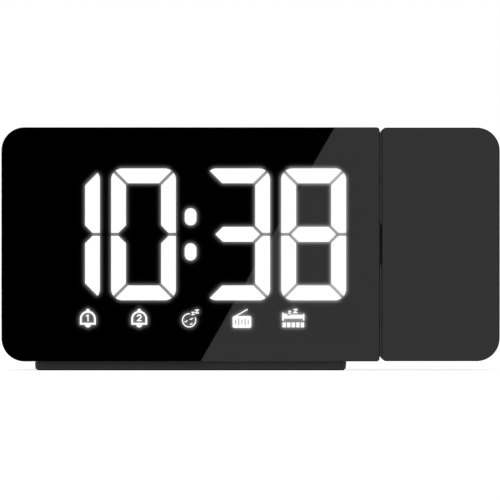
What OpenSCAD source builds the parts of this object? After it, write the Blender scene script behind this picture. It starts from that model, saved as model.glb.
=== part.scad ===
// Projection alarm clock: a flat clock body on a low foot, with a projector head that swivels at its
// right end. X runs to the right, Y from front to back and Z up from the table, in millimetres.

/* [Clock body] */
// Width of the clock body
body_w = 144.2; // [140:0.2:156]
// Height of the clock body
body_h = 89.3; // [89:0.1:96]
// Depth of the clock, front to back
depth = 40; // [39:0.5:43]
// Thickness of the shells' walls
wall = 2; // [1.8:0.1:2.2]
// Radius of the outer corners in the front view
corner_r = 8.8; // [6:0.2:10]
// Radius of the body's corners beside the head
body_seam_r = 1.2; // [0.6:0.1:2]
// Radius of the long back edges
back_r = 12; // [10:0.5:13]
// Radius of the upright back edge at each outer end
end_r = 8; // [5:0.5:9]
// Thickness of the tinted front lens
lens_t = 2; // [1.5:0.1:2.4]
// Thickness of the front frame's plate
frame_t = 1.5; // [1.2:0.1:2]
// Distance of the front frame's rear edge before the hub bush
frame_gap = 1; // [0.4:0.1:2]

/* [Foot] */
// Distance of the foot from the body's ends
foot_end = 12.55; // [9:0.05:22]
// Distance of the foot behind the body's front, and before its back
foot_set_back = 1.5; // [1:0.1:3]
// Height of the body above the table
foot_h = 3.4; // [3.2:0.1:4.4]
// Slope of the foot's ends, measured across at the bottom
foot_draft = 0.3; // [0.1:0.1:1]
// Radius of the foot's upright edges
foot_r = 4; // [2:0.5:6]
// Depth and height of the shadow step at the foot's top edge
foot_step = 0.35; // [0.2:0.05:0.6]
// Thickness of the rubber pad
pad_t = 0.9; // [0.7:0.1:1.2]
// Height by which the pad stands out of the foot
pad_proud = 0.5; // [0.3:0.1:0.6]
// Distance of the pad from the foot's edge
pad_inset = 0.8; // [0.5:0.1:2]

/* [Display] */
// Width of a digit, as a share of the body's width
digit_w_share = 0.1734; // [0.155:0.0002:0.18]
// Height of a digit, as a share of the body's height
digit_h_share = 0.5666; // [0.5:0.0002:0.576]
// Width of the upright and outer strokes
stroke = 5.95; // [4.5:0.05:6.4]
// Height of the middle stroke
middle_h = 6; // [4.5:0.1:6.4]
// Radius of a digit's outer corners
digit_r = 4.4; // [2:0.2:5]
// Width of the mitred gaps between strokes
mitre_gap = 0.85; // [0.6:0.05:1]
// Gap between the upper and the lower upright strokes
waist_gap = 0.9; // [0.7:0.1:1.2]
// Distance of the middle stroke's tips from the digit's edge
tip_inset = 3.8; // [3.6:0.1:4.2]
// Distance from one digit's centre to its pair's, as a share of the body's width
digit_pitch_share = 0.2011; // [0.19:0.0001:0.203]
// Distance between the inner digits' centres, as a share of the body's width
colon_pitch_share = 0.249; // [0.237:0.0005:0.253]
// Height of the digits' centre above the body's centre, as a share of the body's height
digit_rise_share = 0.0431; // [0.034:0.0001:0.047]
// Width of a colon dot
dot_w = 4.8; // [3.5:0.1:5]
// Height of a colon dot
dot_h = 6.9; // [5.5:0.1:8]
// Distance between the colon dots' centres
dot_pitch = 13.4; // [10:0.2:16]
// Distance from one icon to the next, as a share of the body's width
icon_pitch_share = 0.1359; // [0.11:0.0001:0.15]
// Distance of the icons' centre below the body's centre, as a share of the body's height
icon_drop_share = 0.3158; // [0.314:0.0002:0.324]
// Thickness of the black display film
film_t = 0.25; // [0.2:0.05:0.4]
// Depth of the light inserts behind the lens
insert_d = 1.5; // [1:0.1:2]
// Depth of the reflector block
reflector_d = 6; // [5:0.2:6.6]
// Distance of the display block from the body's ends
display_end = 9.6; // [9.1:0.1:10.1]
// Thickness of the circuit boards
board_t = 1.6; // [1:0.1:1.8]

/* [Keys] */
// Distance of the snooze bar from the body's ends
snooze_end = 46.1; // [45.6:0.1:50]
// Depth of the snooze bar, front to back
snooze_d = 14; // [10:0.5:14]
// Width of a top key
key_w = 8.5; // [6:0.5:8.5]
// Depth of a top key, front to back
key_d = 10; // [7:0.5:11]
// Distance from one top key to the next
key_pitch = 11.2; // [11:0.1:11.4]
// Distance of the innermost key's centre from the snooze bar's end
key_start = 8; // [7.6:0.1:8.2]
// Place of the keys' centre line, as a share of the depth from the front
key_line_share = 0.45; // [0.438:0.002:0.474]
// Depth by which the caps lie below the case's surface
cap_drop = 0.1; // [0:0.05:0.3]
// Gap round a cap
cap_gap = 0.25; // [0.2:0.05:0.4]
// Width of the retaining rim round a cap, past its gap
rim_w = 0.8; // [0.5:0.1:0.9]
// Thickness of the retaining rim
rim_t = 1; // [0.8:0.1:1.2]
// Diameter of a cap's stem
stem_d = 3; // [2:0.1:3.4]
// Width of a tact switch
switch_w = 6; // [5:0.5:6.5]
// Height of a tact switch
switch_h = 2.5; // [2.2:0.1:2.8]
// Diameter of a head key
head_key_d = 8; // [6:0.2:9]

/* [Back of the body] */
// Diameter of the speaker
speaker_d = 36; // [30:0.5:37]
// Depth of the speaker
speaker_t = 14; // [12:0.5:15]
// Distance of the speaker's centre from the body's outer end
speaker_in = 29; // [28:0.2:29.4]
// Diameter of the grille's holes
grille_d = 1.8; // [1.2:0.1:2.2]
// Number of rings of grille holes round the middle one
grille_rings = 4; // [2:1:4]
// Diameter of the coin cell
cell_d = 20; // [16:0.5:21]
// Thickness of the coin cell
cell_t = 3.2; // [2:0.1:3.2]
// Width of the battery door past the coin cell
door_past_w = 8; // [7:0.5:12]
// Height of the battery door past the coin cell
door_past_h = 6; // [5.5:0.5:10]
// Thickness of the battery door
door_t = 1.3; // [1:0.1:1.5]
// Diameter of the power jack's mouth
jack_bore = 5.7; // [5:0.1:6.2]
// Diameter of the power jack's centre pin
jack_pin = 2; // [1.3:0.1:2.5]
// Diameter of the power jack's nose
jack_d = 7.9; // [7.4:0.1:8.4]
// Width of the USB port
usb_w = 13.2; // [12.5:0.1:13.6]
// Height of the USB port
usb_h = 5.8; // [5.4:0.1:6.2]
// Height of the jacks above the body's underside
jack_rise = 21.6; // [20:0.2:24]
// Distance between the jacks
jack_pitch = 20; // [17:0.5:22]
// Diameter of the antenna grommet's flange
grommet_d = 7.6; // [6:0.2:9]
// Bore of the antenna grommet
grommet_bore = 1.8; // [1.2:0.1:2.4]
// Length of the posts behind the main board, as a share of the depth
post_share = 0.26; // [0.25:0.002:0.284]

/* [Swivel] */
// Slit between the body and the head
seam = 0.7; // [0.6:0.05:1.2]
// Height of the slit filler on the head's side
filler_t = 0.38; // [0.2:0.02:0.45]
// Distance of the slit filler from the head's outline
filler_inset = 1.5; // [1:0.1:3]
// Place of the swivel axis, as a share of the depth from the front
axis_share = 0.4; // [0.386:0.002:0.414]
// Diameter of the hollow swivel shaft
shaft_d = 12.9; // [11:0.1:13.2]
// Bore of the swivel shaft
shaft_bore = 8; // [5:0.5:9]
// Running clearance between shaft and bush, measured on the radius
run_gap = 0.05; // [0.02:0.01:0.1]
// Wall of the hub bush
bush_wall = 1.5; // [1:0.1:1.6]
// Diameter of the recess round the shaft
recess_d = 21.4; // [20.8:0.2:24]
// Distance of the shaft's flange behind the head's front wall
flange_gap = 1; // [0.5:0.1:1.5]
// Thickness of the shaft's flange
flange_t = 2.5; // [2:0.1:2.8]
// Diameter of the lead between body and head
lead_d = 3; // [2:0.1:3.6]

/* [Projector head] */
// Width of the projector head
head_w = 45.1; // [45:0.1:50]
// Distance of the head's top and underside inside the body's
head_inset = 0.1; // [0:0.05:0.3]
// Radius of the head's corners beside the body
head_seam_r = 1.9; // [1:0.1:3]
// Distance of the head's back cover behind the lens trim ring
cover_gap = 1; // [0.6:0.1:2.5]
// Diameter of the lens barrel
barrel_d = 16; // [14:0.2:16.4]
// Length of the lens barrel
barrel_l = 27.6; // [25:0.2:28]
// Wall of the lens barrel
barrel_wall = 1.5; // [1:0.1:2]
// Travel of the lens barrel each way
focus_travel = 2; // [1:0.1:2.1]
// Distance of the focus ring's rim behind the head's front
ring_front = 4.4; // [4:0.1:5]
// Distance of the focus ring's rim before the head's back
ring_rear = 0.4; // [0.3:0.1:0.6]
// Height of the focus ring
ring_h = 8.5; // [6:0.5:9]
// Number of grooves in the focus ring's rim
ring_grooves = 60; // [30:2:72]
// Diameter of the lens trim ring
trim_d = 20; // [18:0.5:24]
// Depth of the lens trim ring's seat
trim_t = 1.4; // [1:0.1:1.5]
// Width of the square light tunnel
tunnel_w = 22; // [20:0.2:22.4]
// Wall of the light tunnel
tunnel_wall = 1.5; // [1:0.1:1.8]

/* [Screws] */
// Diameter of the case screws
case_screw_d = 3; // [2.5:0.1:3.2]
// Diameter of the small screws
small_screw_d = 2.4; // [2:0.1:2.5]

/* [Hidden] */
$fn = 48;

// Colours
shell_black = "#2b2b2c";
lens_black = "#0a0a0b";
rubber_black = "#161616";
key_grey = "#3a3a3b";
light_white = "#f4f4f2";
board_green = "#1f5a3a";
bright_steel = "#b9bcc0";
aluminium = "#c9cbce";
brass = "#c8a24a";
switch_grey = "#8b8e92";
clear_glass = "#a9c4cf";

// Clearances
big = 400;
seat_gap = 0.05;
drop_in_gap = 0.2;
through_gap = 0.15;
thread_depth = 0.3;

// Main planes
whole_w = body_w + seam + head_w;
body_x0 = -whole_w / 2;
body_x1 = body_x0 + body_w;
head_x0 = body_x1 + seam;
head_x1 = whole_w / 2;
front_y = -depth / 2;
back_y = depth / 2;
back_in = back_y - wall;
body_z0 = foot_h;
body_z1 = foot_h + body_h;
mid_x = (body_x0 + body_x1) / 2;
axis_y = front_y + axis_share * depth;
axis_z = (body_z0 + body_z1) / 2;
head_z0 = body_z0 + head_inset;
head_z1 = body_z1 - head_inset;
head_h = head_z1 - head_z0;
ring_d = depth - ring_front - ring_rear;
optic_x = (head_x0 + head_x1) / 2;
optic_y = back_y - ring_rear - ring_d / 2;

// The display, from the lens backwards
lens_back = front_y + lens_t;
bush_d = shaft_d + 2 * run_gap + 2 * bush_wall;
split_y = axis_y - bush_d / 2 - frame_gap;
film_y = lens_back + 0.1;
reflector_y = film_y + film_t;
display_y = reflector_y + reflector_d;
digit_w = digit_w_share * body_w;
digit_h = digit_h_share * body_h;
digit_pitch = digit_pitch_share * body_w;
colon_pitch = colon_pitch_share * body_w;
icon_pitch = icon_pitch_share * body_w;
digit_z = axis_z + digit_rise_share * body_h;
icon_z = axis_z - icon_drop_share * body_h;
digit_x = [
    mid_x - colon_pitch / 2 - digit_pitch,
    mid_x - colon_pitch / 2,
    mid_x + colon_pitch / 2,
    mid_x + colon_pitch / 2 + digit_pitch
];
display_ear = 4;
display_half = body_w / 2 - display_end;
display_z0 = body_z0 + wall + display_ear + 1.65;
display_z1 = digit_z + digit_h / 2 + 3.8;
display_post_x = [mid_x - display_half + 12, mid_x + display_half - 12];
display_post_z = [display_z0 - display_ear / 2, display_z1 + display_ear / 2];

// The keys under the top
top_in = body_z1 - wall;
key_y = front_y + key_line_share * depth;
snooze_w = body_w - 2 * snooze_end;
rim_z0 = top_in - seat_gap - rim_t;
switch_top = rim_z0 - 0.95;
key_board_z = switch_top - switch_h;
stem_entry = 0.3;
cap_r = 1.5;
key_x = [for (k = [0:2]) snooze_w / 2 + key_start + k * key_pitch];
snooze_stem = snooze_w / 3;
key_post_x = [-key_x[1], -snooze_stem, snooze_stem, key_x[1]];
key_post_y = key_y + snooze_d / 2 + 4.4;
key_board_half = key_x[2] + key_w / 2 + 2;

// The back of the body
speaker_x = body_x0 + speaker_in;
speaker_rib = 1.3;
speaker_seat_d = speaker_d + 2 * drop_in_gap;
post_l = post_share * depth;
main_board_y = back_in - post_l - board_t;
main_x0 = speaker_x + speaker_seat_d / 2 + speaker_rib + 1.6;
main_x1 = body_x1 - 16.1;
main_z0 = body_z0 + 12.6;
main_z1 = body_z1 - 20.7;
main_post_x = [main_x0 + 3, main_x1 - 3];
main_post_z = [main_z0 + 3, main_z1 - 3];
jack_z = body_z0 + jack_rise;
mouth_y = back_y - 0.3;
jack_x = [for (k = [2:-1:0]) main_x1 - 14 - k * jack_pitch];
door_w = cell_d + door_past_w;
door_h = cell_d + door_past_h;
door_x = mid_x + 13;
door_z = axis_z + 4;
door_lip = 1.2;
bay_wall = 1.2;
bay_y = back_in - 5.8;
contact_t = 0.6;
case_post_d = 6;
case_post_x = [body_x0 + wall + 4.1, body_x1 - wall - 3.8];
case_post_z = [body_z0 + 16.65, body_z1 - 16.65];
post_meet_y = (front_y + back_y) / 2;
case_head_d = 5.4;
case_head_t = 2;
case_head_y = back_y - 7;
small_head_d = 4.2;
small_head_t = 1.2;
small_post_d = 4.8;
small_screw_l = 5;
foot_w = body_w - 2 * foot_end;
foot_d = depth - 2 * foot_set_back;
foot_post_x = [mid_x - foot_w / 2 + 17.55, mid_x + foot_w / 2 - 17.55];
foot_post_y = [front_y + 13.5, back_y - 10];
foot_post_z = body_z0 + 8;

// The swivel, from the slit into the body
bush_in = body_x1 - wall - 2;
bush_flange_t = 1;
washer_t = 0.8;
clip_t = 1;
washer_x = bush_in - bush_flange_t - washer_t;
clip_x = washer_x - clip_t - seat_gap;
shaft_x0 = clip_x - 1.6;
flange_x = head_x0 + wall;
flange_d = 2 * (axis_y - front_y - wall - flange_gap);
flange_screw_r = flange_d / 2 - 2.8;
flange_turns = [90, 210, 330];
lead_split_x = bush_in;
lead_bend = 1.5 * lead_d;
connector_y = 3.5;
body_connector_x = shaft_x0 - 12;
head_connector_x = flange_x + flange_t + 9;

// The head's inside, from the bottom up
head_in_z0 = head_z0 + wall;
head_in_z1 = head_z1 - wall;
cover_y = optic_y + trim_d / 2 + cover_gap;
sink_z0 = head_in_z0 + 0.05 * head_h;
sink_z1 = sink_z0 + 7;
sink_plate = 2;
led_z = sink_z1 + board_t;
tunnel_z0 = led_z;
tunnel_h = 0.2626 * head_h;
tunnel_z1 = tunnel_z0 + tunnel_h;
optic_plate_w = tunnel_w + 9;
optic_post_x = tunnel_w / 2 + 2.4;
condenser_z = tunnel_z0 + 0.27 * tunnel_h;
condenser_t = 5;
lcd_z = tunnel_z0 + 0.81 * tunnel_h;
lcd_t = 1.6;
ledge_t = 1;
ledge_w = 2;
carrier_z0 = head_z1 - 25.05;
carrier_t = 2;
carrier_z1 = carrier_z0 + carrier_t + ring_h + 2 * drop_in_gap;
carrier_half = (head_x1 - head_x0) / 2 - wall - 0.25;
pillar_d = 3.2;
pillar_r = ring_d / 2 + pillar_d / 2 + 0.6;
pillar_x = carrier_half - 1.7;
pillar_y = sqrt(max(36, pillar_r * pillar_r - pillar_x * pillar_x));
carrier_screw_r = ring_d / 2 + small_head_d / 2 + 0.5;
carrier_screw_x = 15;
carrier_screw_y = sqrt(max(144, carrier_screw_r * carrier_screw_r - carrier_screw_x * carrier_screw_x));
guide_l = 0.073 * head_h;
guide_wall = 2;
barrel_z0 = head_in_z1 - 1 - focus_travel - barrel_l;
lens_d = barrel_d - 2 * barrel_wall - 2 * seat_gap;
lens_stop = 3;
head_board_y = back_in - 6.2 - board_t;
head_board_z = [tunnel_z1 + 1, barrel_z0 - focus_travel - 0.5];
head_board_half = 17;
head_board_hole_x = head_board_half - 2.5;
head_key_z = axis_z + 2.5;
head_post_x = [flange_x + 4.5, head_x1 - wall - 4.8];
head_post_z = [head_z0 + 8, head_z1 - 8];
head_post_d = 5.6;
rib_t = 1.6;
head_head_y = back_y - 4.5;
ring_slot_w = 19;
ring_slot_gap = 0.6;
scallop = 3;
scallop_t = 0.8;
vent_z0 = head_z0 + 14;
vent_w = 1.4;
vent_l = 20;
vent_pitch = 3.2;

// Plain forms

module box(a, b) {
    translate(a) cube(b - a);
}

module along_x(x0, x1) {
    translate([x0, 0, 0]) rotate([90, 0, 90]) linear_extrude(x1 - x0) children();
}

module along_y(y0, y1) {
    translate([0, y1, 0]) rotate([90, 0, 0]) linear_extrude(y1 - y0) children();
}

module along_z(z0, z1) {
    translate([0, 0, z0]) linear_extrude(z1 - z0) children();
}

module rod_x(x0, x1, y, z, d) {
    translate([x0, y, z]) rotate([0, 90, 0]) cylinder(d = d, h = x1 - x0);
}

module rod_y(x, y0, y1, z, d) {
    translate([x, y0, z]) rotate([-90, 0, 0]) cylinder(d = d, h = y1 - y0);
}

module rod_z(x, y, z0, z1, d) {
    translate([x, y, z0]) cylinder(d = d, h = z1 - z0);
}

// The part of a form that lies between two upright planes
module slice_y(y0, y1) {
    intersection() {
        children();
        box([-big, y0, -big], [big, y1, big]);
    }
}

// The two rounded corners of a rectangle from corner a to corner b that lie towards side, -1 left or 1 right
module rounded_side(a, b, side, r) {
    x = side < 0 ? a[0] + r : b[0] - r;
    mid = (a[0] + b[0]) / 2;
    edge = x + side * r;
    translate([min(mid, edge), a[1] + r]) square([abs(mid - edge), b[1] - a[1] - 2 * r]);
    if (r > 0) for (v = [a[1] + r, b[1] - r]) translate([x, v]) circle(r);
}

// A rectangle from corner a to corner b, its left and right corners rounded by their own radii
module rounded(a, b, left_r, right_r) {
    translate([a[0] + left_r, a[1]]) square([b[0] - a[0] - left_r - right_r, b[1] - a[1]]);
    rounded_side(a, b, -1, left_r);
    rounded_side(a, b, 1, right_r);
}

// A plate with round corners, centred on a point of the XY plane
module key_form(x, y, w, d, z0, z1, r) {
    along_z(z0, z1) rounded([x - w / 2, y - d / 2], [x + w / 2, y + d / 2], r, r);
}

// A case's form between x0 and x1, set in by i on every side. Its front is flat, its long back edges and
// its upright outer back edge are round. outer is -1 where the outer end is the left one, or else 1.
module case_form(x0, x1, z0, z1, outer, seam_r, i) {
    inner_r = i > 0 ? 0 : seam_r;
    left_r = outer < 0 ? corner_r - i : inner_r;
    right_r = outer < 0 ? inner_r : corner_r - i;
    intersection() {
        along_y(front_y + i, back_y - i)
            rounded([x0 + i, z0 + i], [x1 - i, z1 - i], left_r, right_r);
        along_x(x0, x1)
            rounded([front_y + i, z0 + i], [back_y - i, z1 - i], 0, back_r - i);
        along_z(z0, z1) rounded(
            [outer < 0 ? x0 + i : x0 - end_r, front_y - end_r],
            [outer < 0 ? x1 + end_r : x1 - i, back_y - i],
            outer < 0 ? end_r - i : 0,
            outer < 0 ? 0 : end_r - i
        );
    }
}

module body_form(i) {
    case_form(body_x0, body_x1, body_z0, body_z1, -1, body_seam_r, i);
}

module head_form(i) {
    case_form(head_x0, head_x1, head_z0, head_z1, 1, head_seam_r, i);
}

// A screw that points down from z = 0, with a cross recess in its head
module screw(d, head_d, head_t, length) {
    difference() {
        union() {
            cylinder(d = head_d, h = head_t);
            translate([0, 0, -length]) cylinder(d = d, h = length);
        }
        for (turn = [0, 90]) rotate(turn)
            translate([-head_d / 3, -head_d / 14, head_t / 2]) cube([head_d * 2 / 3, head_d / 7, head_t]);
    }
}

module small_screw() {
    color(bright_steel) screw(small_screw_d, small_head_d, small_head_t, small_screw_l);
}

// Front of the clock body

module front_lens() {
    color(lens_black) slice_y(front_y, lens_back) body_form(0);
}

module display_posts(d, y0, y1) {
    for (x = display_post_x) for (z = display_post_z) rod_y(x, y0, y1, z, d);
}

module case_posts(d, y0, y1) {
    for (x = case_post_x) for (z = case_post_z) rod_y(x, y0, y1, z, d);
}

module front_frame() {
    color(shell_black) difference() {
        union() {
            difference() {
                slice_y(lens_back, split_y) body_form(0);
                slice_y(lens_back + frame_t, split_y + 1) body_form(wall);
            }
            intersection() {
                body_form(wall / 2);
                union() {
                    display_posts(small_post_d - 0.8, lens_back, display_y);
                    case_posts(case_post_d, lens_back, post_meet_y);
                }
            }
        }
        box(
            [mid_x - display_half - drop_in_gap, lens_back - 1, display_z0 - drop_in_gap],
            [mid_x + display_half + drop_in_gap, lens_back + frame_t + 1, display_z1 + drop_in_gap]
        );
        display_posts(small_screw_d - thread_depth, display_y - small_screw_l + board_t - 0.5, display_y + 1);
        case_posts(case_screw_d - thread_depth, post_meet_y - 7, post_meet_y + 1);
    }
}

// Display: digits, colon and icons are light inserts that stand through a black film

// The outer ring that a digit's six outer strokes are cut from
module digit_ring() {
    difference() {
        rounded([-digit_w / 2, -digit_h / 2], [digit_w / 2, digit_h / 2], digit_r, digit_r);
        square([digit_w - 2 * stroke, digit_h - 2 * stroke], center = true);
    }
}

module top_stroke() {
    half_gap = mitre_gap / sqrt(2);
    out = [digit_w / 2 - half_gap + 1, digit_h / 2 + 1];
    in = out - [stroke + 2, stroke + 2];
    intersection() {
        digit_ring();
        polygon([[-out[0], out[1]], out, in, [-in[0], in[1]]]);
    }
}

module upper_right_stroke() {
    half_gap = mitre_gap / sqrt(2);
    tip_gap = mitre_gap * sqrt(2);
    right = digit_w / 2 + 1;
    left = digit_w / 2 - stroke - 1;
    top = digit_h / 2 - half_gap;
    tip = digit_w / 2 - tip_inset;
    intersection() {
        digit_ring();
        polygon([
            [right, top + 1],
            [right, waist_gap / 2],
            [tip + tip_gap - waist_gap / 2, waist_gap / 2],
            [left, tip - left + tip_gap],
            [left, top - stroke - 1]
        ]);
    }
}

module middle_stroke() {
    tip = digit_w / 2 - tip_inset;
    half = middle_h / 2;
    polygon([
        [-tip, 0], [half - tip, half], [tip - half, half],
        [tip, 0], [tip - half, -half], [half - tip, -half]
    ]);
}

// The seven strokes of a digit, in a digit's own plane
module digit_strokes() {
    for (m = [0, 1]) mirror([0, m]) {
        top_stroke();
        for (n = [0, 1]) mirror([n, 0]) upper_right_stroke();
    }
    middle_stroke();
}

module colon_shape() {
    for (z = [-dot_pitch / 2, dot_pitch / 2]) translate([0, z]) {
        square([dot_w, dot_h - dot_w], center = true);
        for (e = [-1, 1]) translate([0, e * (dot_h - dot_w) / 2]) circle(d = dot_w);
    }
}

// A straight line of width w from a to b
module line_2d(a, b, w) {
    run = b - a;
    translate(a) rotate(atan2(run[1], run[0])) translate([0, -w / 2]) square([norm(run), w]);
}

// A letter z, as a sign for sleep, with its centre at c and its height h
module sleep_sign(c, h, w) {
    half = h / 2 - w / 2;
    translate(c) {
        line_2d([-h / 2, half], [h / 2, half], w);
        line_2d([h / 2 - w * 0.7, half], [w * 0.7 - h / 2, -half], w);
        line_2d([-h / 2, -half], [h / 2, -half], w);
    }
}

bell_w = 6.15;
bell_dome_z = -0.17;
bell_line = 0.78;
bell_bar_z = -2.45;
knob_d = 1.5;
clapper_d = 2.35;
clapper_drop = 1.05;
number_w = 1.9;
number_h = 2.7;
number_line = 0.53;
number_z = 0.2;

// A bell's outline, set in by i
module bell_outline(i) {
    half = bell_w / 2 - i;
    foot_z = bell_bar_z + i;
    intersection() {
        translate([0, bell_dome_z]) circle(half);
        translate([-half, foot_z]) square(2 * half);
    }
    translate([-half, foot_z]) square([2 * half, bell_dome_z - foot_z]);
}

module bell() {
    difference() {
        bell_outline(0);
        bell_outline(bell_line);
    }
    difference() {
        translate([0, bell_dome_z + bell_w / 2]) circle(d = knob_d);
        bell_outline(bell_line / 2);
    }
    difference() {
        translate([0, bell_bar_z + clapper_d / 2 - clapper_drop]) circle(d = clapper_d);
        translate([-clapper_d, bell_bar_z + bell_line / 2]) square(2 * clapper_d);
    }
}

module number_one() {
    x = 0.06;
    line_2d([x, -number_h / 2], [x, number_h / 2], number_line);
    line_2d([x, number_h / 2 - 0.2], [x - 0.8, number_h / 2 - 0.85], number_line * 0.8);
}

module number_two() {
    w = number_w / 2;
    h = number_h / 2;
    t = number_line;
    bowl_z = h - w;
    bowl_end = -40;
    turn = [cos(bowl_end), sin(bowl_end)];
    translate([0, bowl_z]) difference() {
        circle(w);
        circle(w - t);
        polygon([[0, 0], 2 * w * turn, [2 * w * turn[0], -2 * w], [-2 * w, -2 * w], [-2 * w, 0]]);
    }
    line_2d([0, bowl_z] + (w - t / 2) * turn, [-w + t / 2, -h + t / 2], t);
    translate([-w, -h]) square([2 * w, t]);
}

face_d = 5.55;
face_line = 0.48;
face_tilt = 25;
eye_line = 0.48;

// A quarter or so of a ring, as an eye or a mouth, that opens upwards
module arc_2d(c, r, w, half_angle) {
    reach = 2 * r;
    translate(c) intersection() {
        difference() {
            circle(r + w / 2);
            circle(r - w / 2);
        }
        polygon([[0, 0], [-reach * sin(half_angle), -reach * cos(half_angle)], [0, -1.5 * reach],
            [reach * sin(half_angle), -reach * cos(half_angle)]]);
    }
}

module sleeping_face() {
    translate([-0.56, -0.75]) rotate(face_tilt) {
        difference() {
            circle(d = face_d);
            circle(d = face_d - 2 * face_line);
            translate([1.4, 0.1]) square([3, 3]);
        }
        for (x = [-1.25, 1]) arc_2d([x, 0.75], 0.72, eye_line, 55);
        arc_2d([0.15, -1.05], 0.6, eye_line, 55);
    }
    sleep_sign([0.92, 1.88], 1.3, 0.4);
    sleep_sign([2.45, 2.62], 1.6, 0.44);
}

radio_w = 7.2;
radio_h = 4.57;
radio_z = -1.38;
tick_h = [1.5, 2.5, 1.5, 2.5, 1.5];
tick_w = 0.34;
tick_pitch = 1.2;

module radio() {
    difference() {
        translate([0, radio_z])
            rounded([-radio_w / 2, -radio_h / 2], [radio_w / 2, radio_h / 2], 0.7, 0.7);
        for (k = [0:len(tick_h) - 1])
            translate([(k - 2) * tick_pitch, radio_z]) square([tick_w, tick_h[k]], center = true);
    }
    difference() {
        line_2d([-2.85, 0.6], [2.15, 3.45], 0.5);
        translate([-radio_w / 2, radio_z]) square([radio_w, radio_h / 2]);
    }
}

bed_w = 8.5;
bed_post = 0.65;
mattress_z = -0.1;

module bed() {
    left = -bed_w / 2;
    right_post = bed_post * 0.85;
    translate([left, -0.9]) square([bed_post, 3.1]);
    translate([-left - right_post, -0.9]) square([right_post, 2.6]);
    translate([left + bed_post - 0.1, mattress_z]) square([bed_w - 2 * bed_post + 0.2, 1.1]);
    translate([-1.3, mattress_z]) square([-left - right_post + 1.4, 1.45]);
    translate([left + bed_post + 0.65, 1.05]) circle(d = 1.5);
    sleep_sign([left + 2.85, 2.35], 1.2, 0.38);
    sleep_sign([0.8, 2.78], 1.65, 0.44);
    // a plain timer bar of five cells under the bed
    for (k = [-2:2]) translate([k * 1.75, -2.5]) square([1.3, 1.9], center = true);
}

// Every light insert in the display's plane, where it is in the clock
module icon_shapes() {
    for (k = [-2, -1]) translate([mid_x + k * icon_pitch, icon_z]) {
        bell();
        translate([0, number_z]) if (k == -2) number_one(); else number_two();
    }
    translate([mid_x, icon_z]) sleeping_face();
    translate([mid_x + icon_pitch, icon_z]) radio();
    translate([mid_x + 2 * icon_pitch, icon_z]) bed();
}

module light_shapes() {
    for (x = digit_x) translate([x, digit_z]) digit_strokes();
    translate([mid_x, digit_z]) colon_shape();
}

module digit(k) {
    color(light_white) along_y(lens_back, lens_back + insert_d)
        translate([digit_x[k], digit_z]) digit_strokes();
}

module digit_hour_tens() {
    digit(0);
}

module digit_hour_units() {
    digit(1);
}

module digit_minute_tens() {
    digit(2);
}

module digit_minute_units() {
    digit(3);
}

module colon_dots() {
    color(light_white) along_y(lens_back, lens_back + insert_d) translate([mid_x, digit_z]) colon_shape();
}

module icon_inserts() {
    color(light_white) along_y(lens_back, reflector_y) icon_shapes();
}

module display_block(y0, y1, i) {
    box([mid_x - display_half + i, y0, display_z0 + i], [mid_x + display_half - i, y1, display_z1 - i]);
}

module display_film() {
    color(lens_black) difference() {
        display_block(film_y, reflector_y, 0);
        along_y(film_y - 1, reflector_y + 1) {
            light_shapes();
            icon_shapes();
        }
    }
}

icon_cell = [11, 10];

module digit_reflector() {
    color(light_white) difference() {
        display_block(reflector_y, display_y, 0);
        along_y(reflector_y - 1, display_y + 1) {
            light_shapes();
            for (k = [-2:2]) translate([mid_x + k * icon_pitch, icon_z]) square(icon_cell, center = true);
        }
    }
}

module display_board() {
    color(board_green) difference() {
        box(
            [mid_x - display_half, display_y, display_z0 - display_ear],
            [mid_x + display_half, display_y + board_t, display_z1 + display_ear]
        );
        display_posts(small_screw_d + 2 * through_gap, display_y - 1, display_y + board_t + 1);
    }
}

led_size = [1.6, 0.8, 1.2];

module led_chip(x, z) {
    translate([x - led_size[0] / 2, display_y - led_size[1], z - led_size[2] / 2]) cube(led_size);
}

module display_leds() {
    side = digit_w / 2 - stroke / 2;
    high = digit_h / 2 - stroke / 2;
    color("#e6d98a") {
        for (x = digit_x) {
            for (m = [-1:1]) led_chip(x, digit_z + m * high);
            for (m = [-1, 1]) for (n = [-1, 1]) led_chip(x + m * side, digit_z + n * high / 2);
        }
        for (m = [-1, 1]) led_chip(mid_x, digit_z + m * dot_pitch / 2);
        for (k = [-2:2]) led_chip(mid_x + k * icon_pitch, icon_z);
    }
}

// Housing and foot

module main_posts(d, y0, y1) {
    for (x = main_post_x) for (z = main_post_z) rod_y(x, y0, y1, z, d);
}

module key_posts(d, z0, z1) {
    for (x = key_post_x) rod_z(mid_x + x, key_post_y, z0, z1, d);
}

module foot_posts(d, z0, z1) {
    for (x = foot_post_x) for (y = foot_post_y) rod_z(x, y, z0, z1, d);
}

module grille_holes() {
    for (k = [0:grille_rings]) for (n = [0:max(0, 6 * k - 1)])
        rotate([0, n * 60 / max(k, 1), 0])
            rod_y(k * (speaker_d / 2 - 3) / grille_rings, 0, 3 * wall, 0, grille_d);
}

module cap_opening(x, w, d) {
    key_form(x, key_y, w + 2 * cap_gap, d + 2 * cap_gap, rim_z0, body_z1 + 1, cap_r + cap_gap);
}

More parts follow.
